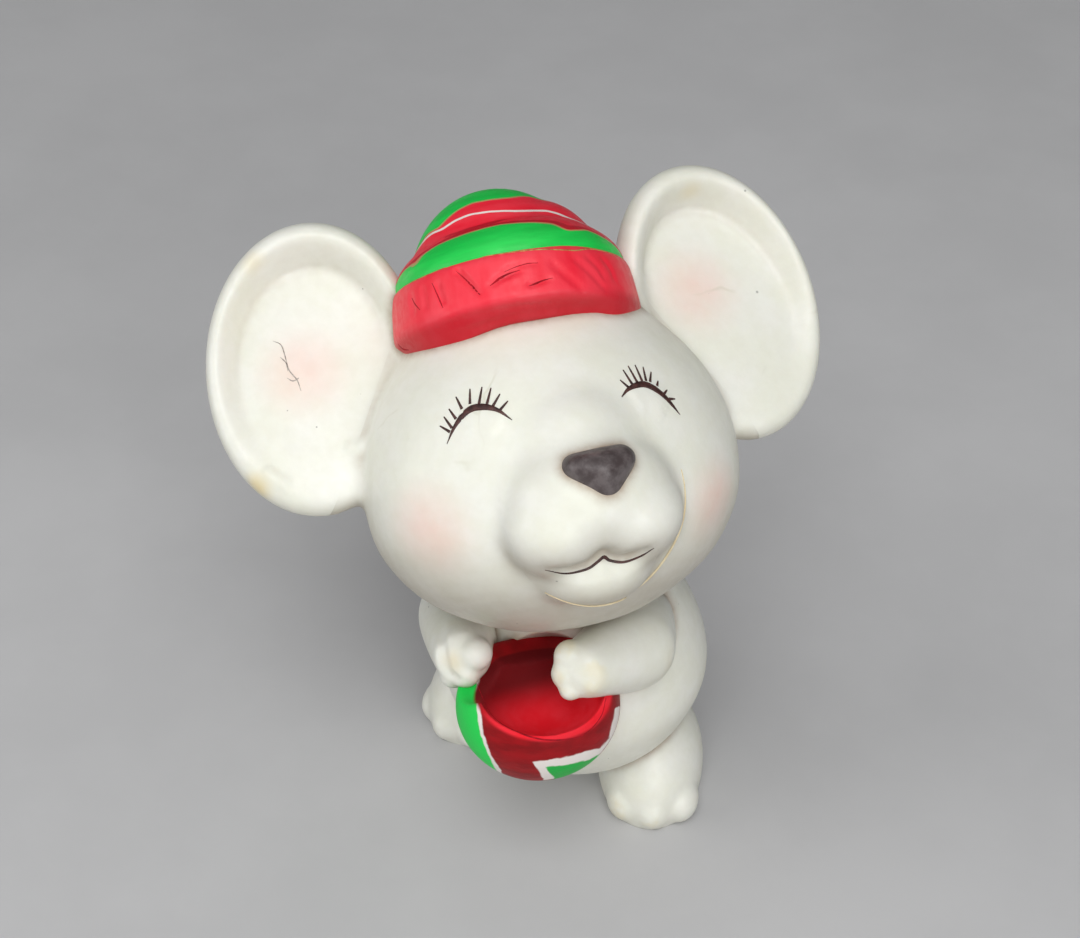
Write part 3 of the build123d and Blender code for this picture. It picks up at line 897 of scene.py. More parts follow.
scratches = [stroke("scratch", trace(ear_right, line), SCRATCH_WIDTHS, 0.0) for line in EAR_SCRATCHES]
ear_scratch = joined("ear_scratch", scratches)
print("mouth, seam and scratches:", len(mouth_paint.data.polygons), len(muzzle_seam.data.polygons))

# %% Say what each piece stands for
PIECES = (
    (head, "ivory_vinyl", "head"),
    (muzzle, "ivory_vinyl", "muzzle"),
    (ear_left, "ivory_vinyl", "ear_left"),
    (ear_right, "ivory_vinyl", "ear_right"),
    (torso, "ivory_vinyl", "torso"),
    (arm_left, "ivory_vinyl", "arm_left"),
    (arm_right, "ivory_vinyl", "arm_right"),
    (foot_left, "ivory_vinyl", "foot_left"),
    (foot_right, "ivory_vinyl", "foot_right"),
    (tail, "ivory_vinyl", "tail"),
    (nose, "nose_brown", "nose"),
    (cuff, "hat_red", "hat_cuff"),
    (crown, "hat_green", "hat_crown"),
    (stocking, "stocking_red", "stocking"),
)
PAINT = (
    (eye_right, "nose_brown"),
    (eye_left, "nose_brown"),
    (mouth_paint, "nose_brown"),
    (muzzle_seam, "ivory_vinyl"),
    (ear_scratch, "nose_brown"),
    (cuff_slit_shade, "hat_red"),
    (cuff_edge, "hat_red"),
    (rim_edge, "stocking_red"),
    (belly_dab, "stocking_red"),
)
for piece, slot, node in PIECES:
    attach(piece, "root")
    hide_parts(node)
for piece, slot in PAINT:
    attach(piece, "root")
print("pieces:", len(PIECES), "and painted ones:", len(PAINT))

# %% [markdown]
# ## Measure the skin for its materials
#
# Old vinyl turns tan where fingers never wipe it, in creases and along joints,
# and yellow where its rims are rubbed. The tan there is dirt and painted shade
# at once, and the undersides get a painted brown shade. So each vertex is
# measured once: how hollow or proud the skin is there, how near the next piece
# is and how far it looks down. The values go into attributes that the
# materials read.

# %% Measure creases and contacts
CREASE_FULL = 0.16
CONTACT_REACH = 1.0


def skin_arrays(piece):
    """The places and normals of a piece's vertices and the pairs that its edges join."""
    mesh = piece.data
    pairs = read_all(mesh.edges, "vertices", width=2, kind=int)
    return read_all(mesh.vertices, "co"), read_all(mesh.vertices, "normal"), pairs


def store(piece, name, values):
    """Keep one number for each vertex in an attribute of the mesh."""
    attribute = piece.data.attributes.new(name, "FLOAT", "POINT")
    attribute.data.foreach_set("value", np.ascontiguousarray(values, dtype=np.float32))


def averaged(values, pairs):
    """Each vertex's average over its neighbours."""
    count = len(values)
    here, there = np.concatenate((pairs, pairs[:, ::-1])).T
    neighbours = np.maximum(np.bincount(here, minlength=count), 1)
    return np.stack([np.bincount(here, column[there], count) / neighbours for column in values.T], 1)


def mark_creases(piece, rounds):
    """Store how hollow the skin is, from -1 on a sharp ridge to 1 in a deep crease."""
    places, normals, pairs = skin_arrays(piece)
    softer = places
    for _ in range(rounds):
        softer = averaged(softer, pairs)
    hollow = ((softer - places) * normals).sum(1) / (CREASE_FULL * MM)
    for _ in range(3):
        hollow = averaged(hollow[:, None], pairs)[:, 0]
    store(piece, "crease", np.clip(hollow, -1, 1))


def borrow_creases(piece, whole, strength):
    """Copy the creases of the uncut skin to a piece that was cut from it."""
    values = np.empty(len(whole.data.vertices), dtype=np.float32)
    whole.data.attributes["crease"].data.foreach_get("value", values)
    finder = KDTree(len(whole.data.vertices))
    for vertex in whole.data.vertices:
        finder.insert(vertex.co, vertex.index)
    finder.balance()
    nearest = [finder.find(vertex.co)[1] for vertex in piece.data.vertices]
    store(piece, "crease", values[nearest] * strength)


def mark_contacts(piece, neighbours):
    """Store how near other pieces come, from 0 at the reach to 1 where they touch."""
    places, _, _ = skin_arrays(piece)
    nearness = np.zeros(len(places))
    for other in neighbours:
        tree = BVHTree.FromObject(other, bpy.context.evaluated_depsgraph_get())
        corners = np.array([tuple(corner) for corner in other.bound_box])
        reach = CONTACT_REACH * MM
        inside = ((places > corners.min(0) - reach) & (places < corners.max(0) + reach)).all(1)
        for index in np.flatnonzero(inside):
            distance = tree.find_nearest(Vector(places[index]), reach)[3]
            if distance is not None:
                nearness[index] = max(nearness[index], 1 - distance / reach)
    store(piece, "contact", nearness)


# How strongly the undersides of each piece are darkened as painted shade, most under the head and muzzle.
UNDER_STRENGTHS = {head: 1.0, muzzle: 1.0}


def mark_undersides(piece):
    """Store how far the skin looks down, from 0 to 1, for the painted shade under it."""
    _, normals, pairs = skin_arrays(piece)
    under = UNDER_STRENGTHS.get(piece, 0.3) * eased(-normals[:, 2], -0.4, 0.5)[:, None]
    for _ in range(6):
        under = averaged(under, pairs)
    store(piece, "under", under[:, 0])


VINYL_CONTACTS = (
    (head, (torso, cuff)),
    (muzzle, (nose,)),
    (ear_left, (cuff,)),
    (ear_right, (cuff,)),
    (torso, (head, arm_left, arm_right, foot_left, foot_right, stocking, tail)),
    (arm_left, (torso, head, stocking)),
    (arm_right, (torso, head, stocking)),
    (foot_left, (torso,)),
    (foot_right, (torso, tail)),
    (tail, (torso, foot_right)),
)
CREASE_STRENGTHS = {ear_left: 0.3, ear_right: 0.3, head: 0.5, muzzle: 0.6}
mark_creases(whole_skin, rounds=24)
for piece, neighbours in VINYL_CONTACTS:
    if piece in (head, muzzle, ear_left, ear_right):
        borrow_creases(piece, whole_skin, CREASE_STRENGTHS.get(piece, 1.0))
    else:
        mark_creases(piece, rounds=24)
    mark_contacts(piece, neighbours)
    mark_undersides(piece)
bpy.data.objects.remove(whole_skin)
for piece in (cuff, crown, stocking, nose):
    mark_creases(piece, rounds=12)
# The fold value marks the cuff's underside below its fold, where the paint lays on a painted shade.
cuff_heights = in_frame(read_all(cuff.data.vertices, "co"), HAT)[:, 2]
store(cuff, "fold", 1 - eased(cuff_heights, 0.2, 1.5))
print("skins measured:", len(VINYL_CONTACTS) + 4)


# %% [markdown]
# ## Where the stripes run
#
# The stripes were painted by hand, so their edges wander. Their edges are
# taken from the photo as lines of pixels. Each vertex stores its distance from
# such a line in millimetres, and the material changes colour where that is
# zero, which gives a crisp edge at any size. On the far side of the hat each
# stripe follows the plane that passes nearest to its line, so that the stripes
# run on round the back.

# %% Stripe lines
PIXELS_TO_MM = 13.2
CREST_EDGE = (
    (370, 283), (391, 270), (404, 260), (418, 251.5), (424.5, 235), (439.5, 227.5), (447, 218.5),
    (459, 209.5), (472.5, 202.8), (489, 199.8), (502.5, 198.3), (514.5, 197), (540, 194), (600, 188),
    (660, 184),
)
WHITE_LINE = (
    (370, 291), (397.5, 270), (414, 254.5), (423, 241), (430.5, 234), (442.5, 229), (456, 220),
    (471, 214.3), (486, 211.8), (502.5, 211), (519, 211), (534, 210.7), (547.5, 211), (558, 213.7),
    (570, 218.5), (600, 233), (660, 265),
)
BAND_EDGE = (
    (370, 276), (392, 274), (400.5, 273), (412.5, 267.3), (420, 260.5), (424.5, 253), (435, 245.5),
    (450, 238.8), (468, 232.8), (486, 227.5), (501, 223.8), (517.5, 222.7), (537, 222.3), (552, 223.8),
    (561, 227.5), (568.5, 230.8), (577.5, 230.2), (588, 230.2), (597, 233.5), (604.5, 238), (615, 241.8),
    (660, 262),
)


def photo_pixels(places):
    """The pixels of the photo at which places would show."""
    turn = np.array(camera_turned.to_matrix())
    seen = (places - np.array(camera.location)) @ turn
    u = PHOTO_WIDTH / 2 - FOCAL_PIXELS * seen[:, 0] / seen[:, 2]
    v = PHOTO_HEIGHT / 2 + FOCAL_PIXELS * seen[:, 1] / seen[:, 2]
    return np.stack((u, v), 1)


def facing_camera(places, normals):
    """How far a skin faces the camera, from 1 straight at it to -1 straight away."""
    sight = np.array(camera.location) - places
    return (normals * sight).sum(1) / np.linalg.norm(sight, axis=1)


def below_plane(places, spots):
    """How far places lie below the plane that passes nearest to a line of spots, in millimetres."""
    line = np.array([spot for spot, _ in spots])
    normal = np.linalg.svd(line - line.mean(0))[2][2]
    normal *= -np.sign(normal @ np.array(HAT.to_3x3().col[2]))
    return (places - line.mean(0)) @ normal / MM


def below_line(pixels, line):
    """How far pixels lie below a line that runs from left to right, in millimetres."""
    knots = np.array(line)
    u = np.arange(knots[0, 0], knots[-1, 0])
    v = np.interp(u, knots[:, 0], knots[:, 1])
    window = np.hanning(15)
    v = np.convolve(np.pad(v, 7, mode="edge"), window / window.sum(), "valid")
    slope = np.interp(pixels[:, 0], u, np.gradient(v))
    return (pixels[:, 1] - np.interp(pixels[:, 0], u, v)) / np.sqrt(1 + slope ** 2) / PIXELS_TO_MM


hat_places, hat_normals, _ = skin_arrays(crown)
hat_seen = eased(facing_camera(hat_places, hat_normals), 0.1, 0.4)
for name, line in (("crest", CREST_EDGE), ("white_line", WHITE_LINE), ("band", BAND_EDGE)):
    from_photo = below_line(photo_pixels(hat_places), line)
    round_the_back = below_plane(hat_places, trace(crown, line))
    store(crown, name, hat_seen * from_photo + (1 - hat_seen) * round_the_back)
print("stripe lines on the hat:", 3)

# %% Stripes of the stocking
HOLLOW_BRIGHT = np.array((541.0, 722.0))
HOLLOW_AXIS = np.array((-0.26, -0.966))
HOLLOW_REACH = 62.0
RIM_HALF_WIDTH = 5.6
RIM_HALF_DEPTH = 4.5
SIDE_GREEN = (
    (430, 680), (476, 680), (476.5, 702), (477.5, 718), (481, 735), (486.5, 751.5), (494, 766), (505, 790),
    (430, 800),
)
SIDE_WHITE = (
    (430, 660), (480, 670), (480.2, 702), (481.5, 718.5), (484.2, 735), (490.8, 754.8), (500, 769),
    (512, 800), (430, 800),
)
TOE_WHITE = (
    (532.6, 762), (560, 758.4), (579, 753), (600, 748), (609, 738), (612, 722), (614.5, 708), (650, 700),
    (650, 820), (552, 820), (543, 778),
)
TOE_GREEN = (
    (545, 767), (568, 764.7), (589.5, 759.5), (606, 751), (611, 742.6), (650, 735), (650, 820), (570, 820),
    (554, 778),
)


def inside_outline(pixels, outline):
    """How far pixels lie inside a closed outline, in millimetres, and below zero outside it."""
    corners = np.array(outline)
    following = np.roll(corners, -1, axis=0)
    run = following - corners
    gap = pixels[:, None] - corners[None]
    share = np.clip((gap * run).sum(2) / (run * run).sum(1), 0, 1)
    distance = np.linalg.norm(gap - share[:, :, None] * run, axis=2).min(1)
    above = corners[None, :, 1] > pixels[:, None, 1]
    above_next = following[None, :, 1] > pixels[:, None, 1]
    slant = run[:, 0] / np.where(run[:, 1] == 0, 1, run[:, 1])
    crossing = corners[:, 0] + (pixels[:, None, 1] - corners[:, 1]) * slant
    inside = ((above != above_next) & (pixels[:, None, 0] < crossing)).sum(1) % 2 == 1
    return np.where(inside, distance, -distance) / PIXELS_TO_MM


bag_places, bag_normals, _ = skin_arrays(stocking)
bag_pixels = photo_pixels(bag_places)
bag_seen = 4 * (facing_camera(bag_places, bag_normals) - 0.1)
mouth_turn = np.array(BAG_MOUTH.to_3x3())
in_mouth = in_frame(bag_places, BAG_MOUTH)
inside_rim = 1 - np.hypot(in_mouth[:, 0] / RIM_HALF_WIDTH, in_mouth[:, 1] / RIM_HALF_DEPTH)
looks_up = bag_normals @ mouth_turn[:, 2]
store(stocking, "lining", np.minimum(inside_rim, looks_up + 0.15))
# Painted shade in the hollow: its darkness grows with the distance from the bright lip towards the back.
from_bright = (bag_pixels - HOLLOW_BRIGHT) @ HOLLOW_AXIS / HOLLOW_REACH
store(stocking, "depth", np.clip(from_bright, 0, 1))
for name, outline in (
    ("side_green", SIDE_GREEN), ("side_white", SIDE_WHITE),
    ("toe_white", TOE_WHITE), ("toe_green", TOE_GREEN),
):
    inside = inside_outline(bag_pixels, outline)
    if name == "toe_white":
        inside = np.minimum(inside, bag_seen)
    store(stocking, name, inside)
print("stripe outlines on the stocking:", 4)


# %% [markdown]
# ## Tools for the materials
#
# All finishes are built from nodes. Effects that several finishes share, such
# as mottling, dark specks and brush marks, are node groups with named
# inputs, and each material sets its own values.

# %% Node tools
def feed(tree, node, inputs):
    """Give a node's inputs values, or link them to other nodes' outputs."""
    for name, value in inputs.items():
        if isinstance(value, bpy.types.NodeSocket):
            tree.links.new(value, node.inputs[name])
        else:
            node.inputs[name].default_value = value


def add_node(tree, kind, inputs=None, **settings):
    """Add a node with these settings and inputs."""
    node = tree.nodes.new(kind)
    for name, value in settings.items():
        setattr(node, name, value)
    feed(tree, node, inputs or {})
    return node


def sums(tree, operation, *values):
    """The result of a Math node."""
    return add_node(tree, "ShaderNodeMath", dict(enumerate(values)), operation=operation).outputs[0]


def ramp(tree, value, low, high):
    """A value spread smoothly from 0 at low to 1 at high."""
    inputs = {"Value": value, "From Min": low, "From Max": high}
    return add_node(tree, "ShaderNodeMapRange", inputs, interpolation_type="SMOOTHSTEP").outputs[0]


def blend(tree, factor, first, second):
    """A colour mixed from two by a factor."""
    inputs = {"Factor": factor, 6: first, 7: second}
    return add_node(tree, "ShaderNodeMix", inputs, data_type="RGBA").outputs[2]


def noise(tree, where, scale, detail, roughness=0.5):
    """The outputs of a noise texture, the first of them its value."""
    inputs = {"Vector": where, "Scale": scale, "Detail": detail, "Roughness": roughness}
    return add_node(tree, "ShaderNodeTexNoise", inputs).outputs


def tinted(tree, colour, mask, strength, tint):
    """A colour with some of another one laid over it where a mask is set."""
    return blend(tree, sums(tree, "MULTIPLY", mask, strength), colour, tint)


def attribute(tree, name):
    """A number that was stored on the mesh."""
    return add_node(tree, "ShaderNodeAttribute", attribute_name=name).outputs["Fac"]


def new_group(name, inputs, output):
    """An empty node group with named inputs: the group, what it is given and the socket of its result."""
    group = bpy.data.node_groups.new(name, "ShaderNodeTree")
    for socket, value in inputs.items():
        kind = "NodeSocketFloat" if isinstance(value, float) else "NodeSocketVector"
        made = group.interface.new_socket(name=socket, in_out="INPUT", socket_type=kind)
        if value is not None:
            made.default_value = value
    group.interface.new_socket(name=output, in_out="OUTPUT", socket_type="NodeSocketFloat")
    return group, group.nodes.new("NodeGroupInput").outputs, group.nodes.new("NodeGroupOutput").inputs[0]


def use_group(tree, group, **inputs):
    """Place a group in a material and return its output."""
    return add_node(tree, "ShaderNodeGroup", inputs, node_tree=group).outputs[0]


def rgb(red, green, blue):
    """A colour from its red, green and blue in linear light."""
    return (red, green, blue, 1)


print("node tools ready")

# %% Shared effects: mottling
mottle_group, given, result = new_group("hand_mottle", {"Vector": None, "Scale": 250.0}, "Mottle")
mottle = noise(mottle_group, given["Vector"], given["Scale"], 5.0, 0.6)[0]
mottle_group.links.new(ramp(mottle_group, mottle, 0.32, 0.68), result)
print("group:", mottle_group.name)

# %% Shared effects: dark specks
speck_group, given, result = new_group(
    "dark_specks", {"Vector": None, "Scale": 900.0, "Amount": 0.2, "Size": 0.2}, "Specks"
)
cells = add_node(
    speck_group, "ShaderNodeTexVoronoi", {"Vector": given["Vector"], "Scale": given["Scale"]}
).outputs
chance = add_node(speck_group, "ShaderNodeSeparateColor", {"Color": cells["Color"]}).outputs
speck_size = sums(speck_group, "MULTIPLY", chance[1], given["Size"])
speck_edge = sums(speck_group, "SUBTRACT", speck_size, cells["Distance"])
speck_here = sums(speck_group, "LESS_THAN", chance[0], given["Amount"])
speck_round = ramp(speck_group, speck_edge, 0.0, 0.06)
speck_group.links.new(sums(speck_group, "MULTIPLY", speck_round, speck_here), result)
print("group:", speck_group.name)

# %% Shared effects: hairline scratches
scratch_group, given, result = new_group(
    "hairlines", {"Vector": None, "Scale": 120.0, "Amount": 0.5}, "Hairlines"
)
wander = noise(scratch_group, given["Vector"], 180.0, 3.0)["Color"]
bent = add_node(
    scratch_group, "ShaderNodeVectorMath", {0: wander, 1: (0.004, 0.004, 0.004), 2: given["Vector"]},
    operation="MULTIPLY_ADD",
).outputs[0]
cracks = add_node(
    scratch_group, "ShaderNodeTexVoronoi",
    {"Vector": bent, "Scale": given["Scale"]}, feature="DISTANCE_TO_EDGE",
).outputs["Distance"]
patches = noise(scratch_group, given["Vector"], 140.0, 2.0)[0]
hairline = sums(scratch_group, "SUBTRACT", 1.0, ramp(scratch_group, cracks, 0.0, 0.018))
shown = ramp(scratch_group, sums(scratch_group, "ADD", patches, given["Amount"]), 1.0, 1.12)
scratch_group.links.new(sums(scratch_group, "MULTIPLY", hairline, shown), result)
print("group:", scratch_group.name)

# %% Shared effects: soft round blush
blush_group, given, result = new_group(
    "airbrushed_blush", {"Vector": None, "Centre": None, "Radius": 0.003}, "Blush"
)
apart = add_node(
    blush_group, "ShaderNodeVectorMath", {0: given["Vector"], 1: given["Centre"]}, operation="DISTANCE"
).outputs["Value"]
share = sums(blush_group, "DIVIDE", apart, given["Radius"])
grainy = sums(blush_group, "MULTIPLY_ADD", noise(blush_group, given["Vector"], 700.0, 4.0)[0], 0.8, 0.6)
blush_mask = sums(blush_group, "SUBTRACT", 1.0, ramp(blush_group, share, 0.0, 1.0))
blush_group.links.new(sums(blush_group, "MULTIPLY", blush_mask, grainy), result)
print("group:", blush_group.name)


# %% [markdown]
# ## Ivory vinyl
#
# The body is cast in soft ivory vinyl that lets a little light in. Its colour
# is never even: faint green and cream patches, tan dirt and painted shade in the
# creases and joints, a painted brown shade on the undersides, yellow where rims
# are rubbed, dark specks, fine scratches and a pink airbrushed blush on the
# cheeks and in the ears.

# %% Ivory vinyl
IVORY = rgb(0.80, 0.80, 0.735)
IVORY_CREAM = rgb(0.77, 0.775, 0.675)
MOTTLE_OLIVE = rgb(0.55, 0.52, 0.42)
CREASE_DIRT_AND_SHADE_TAN = rgb(0.32, 0.22, 0.14)
UNDERSIDE_SHADE_BROWN = rgb(0.33, 0.28, 0.21)
RUBBED_YELLOW = rgb(0.74, 0.60, 0.30)
BLUSH_PINK = rgb(0.82, 0.50, 0.43)
SPECK_DARK = rgb(0.10, 0.085, 0.07)
HAIRLINE_TAN = rgb(0.50, 0.47, 0.34)
BLUSHES = (
    (head, (428, 532), 5.4, 0.5),
    (head, (716, 500), 4.8, 0.5),
    (ear_right, (303, 372), 5.0, 0.45),
    (ear_left, (695, 290), 5.2, 0.45),
)
STAINS = (
    (ear_right, (258, 487), 1.8, 0.75),
    (ear_right, (252, 262), 1.6, 0.3),
    (ear_left, (690, 192), 1.6, 0.3),
    (arm_right, (452, 662), 1.6, 0.35),
)


def blush_spot(piece, pixel):
    """The place on a piece that shows at a pixel of the photo."""
    tree = BVHTree.FromObject(piece, bpy.context.evaluated_depsgraph_get())
    return tree.ray_cast(camera.location, photo_ray(*pixel))[0]


def new_material(name):
    """A material with an empty tree, its shader and its object coordinates."""
    material = bpy.data.materials.new(name)
    material.use_nodes = True
    tree = material.node_tree
    tree.nodes.clear()
    shader = tree.nodes.new("ShaderNodeBsdfPrincipled")
    output = tree.nodes.new("ShaderNodeOutputMaterial")
    tree.links.new(shader.outputs[0], output.inputs[0])
    where = tree.nodes.new("ShaderNodeTexCoord").outputs["Object"]
    return material, tree, shader, where


ivory_vinyl, tree, shader, where = new_material("ivory_vinyl")
patches = use_group(tree, mottle_group, Vector=where, Scale=190.0)
fine_patches = use_group(tree, mottle_group, Vector=where, Scale=900.0)
colour = blend(tree, patches, IVORY, IVORY_CREAM)
colour = tinted(tree, colour, fine_patches, 0.10, MOTTLE_OLIVE)
for tint, spots in ((BLUSH_PINK, BLUSHES), (RUBBED_YELLOW, STAINS)):
    for piece, pixel, radius, strength in spots:
        centre = blush_spot(piece, pixel)
        mask = use_group(tree, blush_group, Vector=where, Centre=centre, Radius=radius * MM)
        colour = tinted(tree, colour, mask, strength, tint)
crease = attribute(tree, "crease")
contact = attribute(tree, "contact")
rubbed = sums(tree, "MULTIPLY", ramp(tree, crease, -0.35, -1.0), ramp(tree, patches, 0.5, 1.0))
colour = tinted(tree, colour, rubbed, 0.3, RUBBED_YELLOW)
# Dirt and painted shade: creases and joints against the next piece are darkened tan.
dirt_and_shade = sums(tree, "MAXIMUM", ramp(tree, crease, 0.12, 1.0), sums(tree, "POWER", contact, 2.2))
dirt_and_shade = sums(tree, "MULTIPLY", dirt_and_shade, sums(tree, "MULTIPLY_ADD", fine_patches, 0.25, 0.6))
colour = blend(tree, dirt_and_shade, colour, CREASE_DIRT_AND_SHADE_TAN)
# Painted shade: the undersides are darkened brown, most under the head and the muzzle.
underside_shade = sums(tree, "MULTIPLY", attribute(tree, "under"), sums(tree, "MULTIPLY_ADD", patches, 0.1, 0.62))
colour = blend(tree, underside_shade, colour, UNDERSIDE_SHADE_BROWN)
specks = use_group(tree, speck_group, Vector=where, Scale=1900.0, Amount=0.012, Size=0.26)
colour = tinted(tree, colour, specks, 0.5, SPECK_DARK)
hairlines = use_group(tree, scratch_group, Vector=where, Scale=95.0, Amount=0.4)
colour = tinted(tree, colour, hairlines, 0.3, HAIRLINE_TAN)
gloss = sums(tree, "MULTIPLY_ADD", fine_patches, 0.14, 0.36)
gloss = sums(tree, "MULTIPLY_ADD", dirt_and_shade, 0.2, gloss)
relief = sums(tree, "MULTIPLY_ADD", fine_patches, 0.5, noise(tree, where, 2400.0, 3.0)[0])
relief = sums(tree, "SUBTRACT", relief, hairlines)
bump = add_node(tree, "ShaderNodeBump", {"Height": relief, "Strength": 0.25, "Distance": 0.03 * MM})
feed(tree, shader, {
    "Base Color": colour, "Roughness": gloss, "Normal": bump.outputs[0], "Subsurface Weight": 0.06,
    "Subsurface Radius": (1.0, 0.7, 0.45), "Subsurface Scale": 0.8 * MM,
})
print("material:", ivory_vinyl.name, len(tree.nodes), "nodes")

# %% [markdown]
# ## Enamel paints
#
# The hat, the stocking and the face are brushed with enamel. Brush marks run
# along the stripes, the edges wander, and along each edge a thin tan line is
# left where two coats meet. Shade is painted into the reds as well: darker in
# the cuff's dents and under its fold, dark on the outside of the stocking and
# darkest in its hollow.

# %% Enamel paints
ENAMEL_RED = rgb(0.82, 0.018, 0.04)
ENAMEL_RED_LIGHT = rgb(0.88, 0.07, 0.10)
ENAMEL_RED_DEEP = rgb(0.30, 0.001, 0.006)
ENAMEL_GREEN = rgb(0.015, 0.64, 0.085)
ENAMEL_GREEN_DEEP = rgb(0.01, 0.42, 0.055)
ENAMEL_WHITE = rgb(0.80, 0.74, 0.70)
EDGE_TAN = rgb(0.42, 0.33, 0.13)
# Painted shade colours: the cuff under its fold, the outside of the stocking and its hollow.
FOLD_SHADE_RED = rgb(0.38, 0.001, 0.006)
OUTSIDE_SHADE_RED = rgb(0.32, 0.0005, 0.004)
OUTSIDE_SHADE_RED_DEEP = rgb(0.14, 0.0, 0.001)
LINING_RED = rgb(0.80, 0.008, 0.02)
HOLLOW_SHADE_RED = rgb(0.13, 0.0, 0.002)

brush_group, given, result = new_group(
    "brush_marks", {"Vector": None, "Stretch": (200.0, 200.0, 1600.0)}, "Marks"
)
brush_place = add_node(
    brush_group, "ShaderNodeVectorMath", {0: given["Vector"], 1: given["Stretch"]}, operation="MULTIPLY"
).outputs[0]
brush_group.links.new(ramp(brush_group, noise(brush_group, brush_place, 1.0, 4.0)[0], 0.3, 0.7), result)


def hat_place(tree, where):
    """Object coordinates turned into the hat's own frame."""
    inverse = HAT.inverted()
    inputs = {"Vector": where, "Location": inverse.translation, "Rotation": inverse.to_euler()}
    return add_node(tree, "ShaderNodeMapping", inputs).outputs[0]


def near_zero(tree, value, width):
    """A thin line where a stored distance is zero."""
    return sums(tree, "SUBTRACT", 1.0, ramp(tree, sums(tree, "ABSOLUTE", value), width * 0.5, width))


def enamel_finish(tree, shader, where, colour, marks):
    """The gloss, specks and brush relief that all enamel paints share."""
    specks = use_group(tree, speck_group, Vector=where, Scale=1600.0, Amount=0.006, Size=0.28)
    colour = tinted(tree, colour, specks, 0.5, SPECK_DARK)
    pits = use_group(tree, mottle_group, Vector=where, Scale=1500.0)
    gloss = sums(tree, "MULTIPLY_ADD", pits, 0.18, 0.34)
    height = sums(tree, "MULTIPLY_ADD", pits, 0.4, marks)
    bump = add_node(tree, "ShaderNodeBump", {"Height": height, "Strength": 0.3, "Distance": 0.05 * MM})
    feed(tree, shader, {
        "Base Color": colour, "Roughness": gloss, "Normal": bump.outputs[0], "Specular IOR Level": 0.35,
    })


print("group:", brush_group.name)

# %% Cuff paint
cuff_paint, tree, shader, where = new_material("cuff_red_enamel")
marks = use_group(tree, brush_group, Vector=hat_place(tree, where), Stretch=(700.0, 700.0, 160.0))
worn = ramp(tree, attribute(tree, "crease"), -0.1, -0.9)
# Painted shade: the cuff's dents darken to a deep red, and its underside below the fold to a dark red.
crease_shade = ramp(tree, attribute(tree, "crease"), 0.1, 0.9)
colour = tinted(tree, ENAMEL_RED, marks, 0.45, ENAMEL_RED_LIGHT)
colour = tinted(tree, colour, worn, 0.5, ENAMEL_RED_LIGHT)
colour = tinted(tree, colour, crease_shade, 0.8, ENAMEL_RED_DEEP)
colour = tinted(tree, colour, attribute(tree, "fold"), 0.7, FOLD_SHADE_RED)
enamel_finish(tree, shader, where, colour, marks)
print("material:", cuff_paint.name)

# %% Crown paint
crown_paint, tree, shader, where = new_material("crown_striped_enamel")
wobble = sums(tree, "MULTIPLY_ADD", noise(tree, where, 700.0, 2.0)[0], 0.08, -0.04)
crest, white_line, band = [
    sums(tree, "ADD", attribute(tree, line), wobble) for line in ("crest", "white_line", "band")
]
marks = use_group(tree, brush_group, Vector=hat_place(tree, where), Stretch=(220.0, 220.0, 1500.0))
red = tinted(tree, ENAMEL_RED, marks, 0.4, ENAMEL_RED_LIGHT)
green = tinted(tree, ENAMEL_GREEN, marks, 0.5, ENAMEL_GREEN_DEEP)
colour = blend(tree, ramp(tree, crest, -0.02, 0.02), green, red)
groove = near_zero(tree, sums(tree, "ADD", band, 0.2), 0.18)
colour = tinted(tree, colour, groove, 0.6, ENAMEL_RED_DEEP)
colour = blend(tree, near_zero(tree, white_line, 0.09), colour, ENAMEL_WHITE)
colour = blend(tree, ramp(tree, band, -0.02, 0.02), colour, green)
colour = blend(tree, near_zero(tree, crest, 0.06), colour, EDGE_TAN)
colour = blend(tree, near_zero(tree, band, 0.06), colour, EDGE_TAN)
enamel_finish(tree, shader, where, colour, marks)
print("material:", crown_paint.name)

# %% Stocking paint
stocking_paint, tree, shader, where = new_material("stocking_striped_enamel")
ragged = sums(tree, "MULTIPLY_ADD", noise(tree, where, 900.0, 3.0)[0], 0.3, -0.15)
marks = use_group(tree, brush_group, Vector=where, Stretch=(500.0, 500.0, 1100.0))
# Painted shade: the outside of the bag is a dark red, as where it faces down away from the light, while the
# lining keeps the bright red.
outside = tinted(tree, OUTSIDE_SHADE_RED, marks, 0.6, OUTSIDE_SHADE_RED_DEEP)
lining = tinted(tree, LINING_RED, marks, 0.25, ENAMEL_RED_LIGHT)
for name, paint in (
    ("side_white", ENAMEL_WHITE), ("side_green", ENAMEL_GREEN),
    ("toe_white", ENAMEL_WHITE), ("toe_green", ENAMEL_GREEN_DEEP),
):
    edge = sums(tree, "ADD", attribute(tree, name), ragged)
    outside = blend(tree, ramp(tree, edge, -0.06, 0.06), outside, paint)
# Painted shade: the lining darkens towards the back of the hollow.
lining = blend(tree, ramp(tree, attribute(tree, "depth"), 0.05, 0.75), lining, HOLLOW_SHADE_RED)
inner = ramp(tree, attribute(tree, "lining"), -0.04, 0.02)
colour = blend(tree, inner, outside, lining)
enamel_finish(tree, shader, where, colour, marks)
feed(tree, shader, {"Roughness": sums(tree, "MULTIPLY_ADD", inner, 0.3, 0.5), "Specular IOR Level": 0.25})
print("material:", stocking_paint.name)

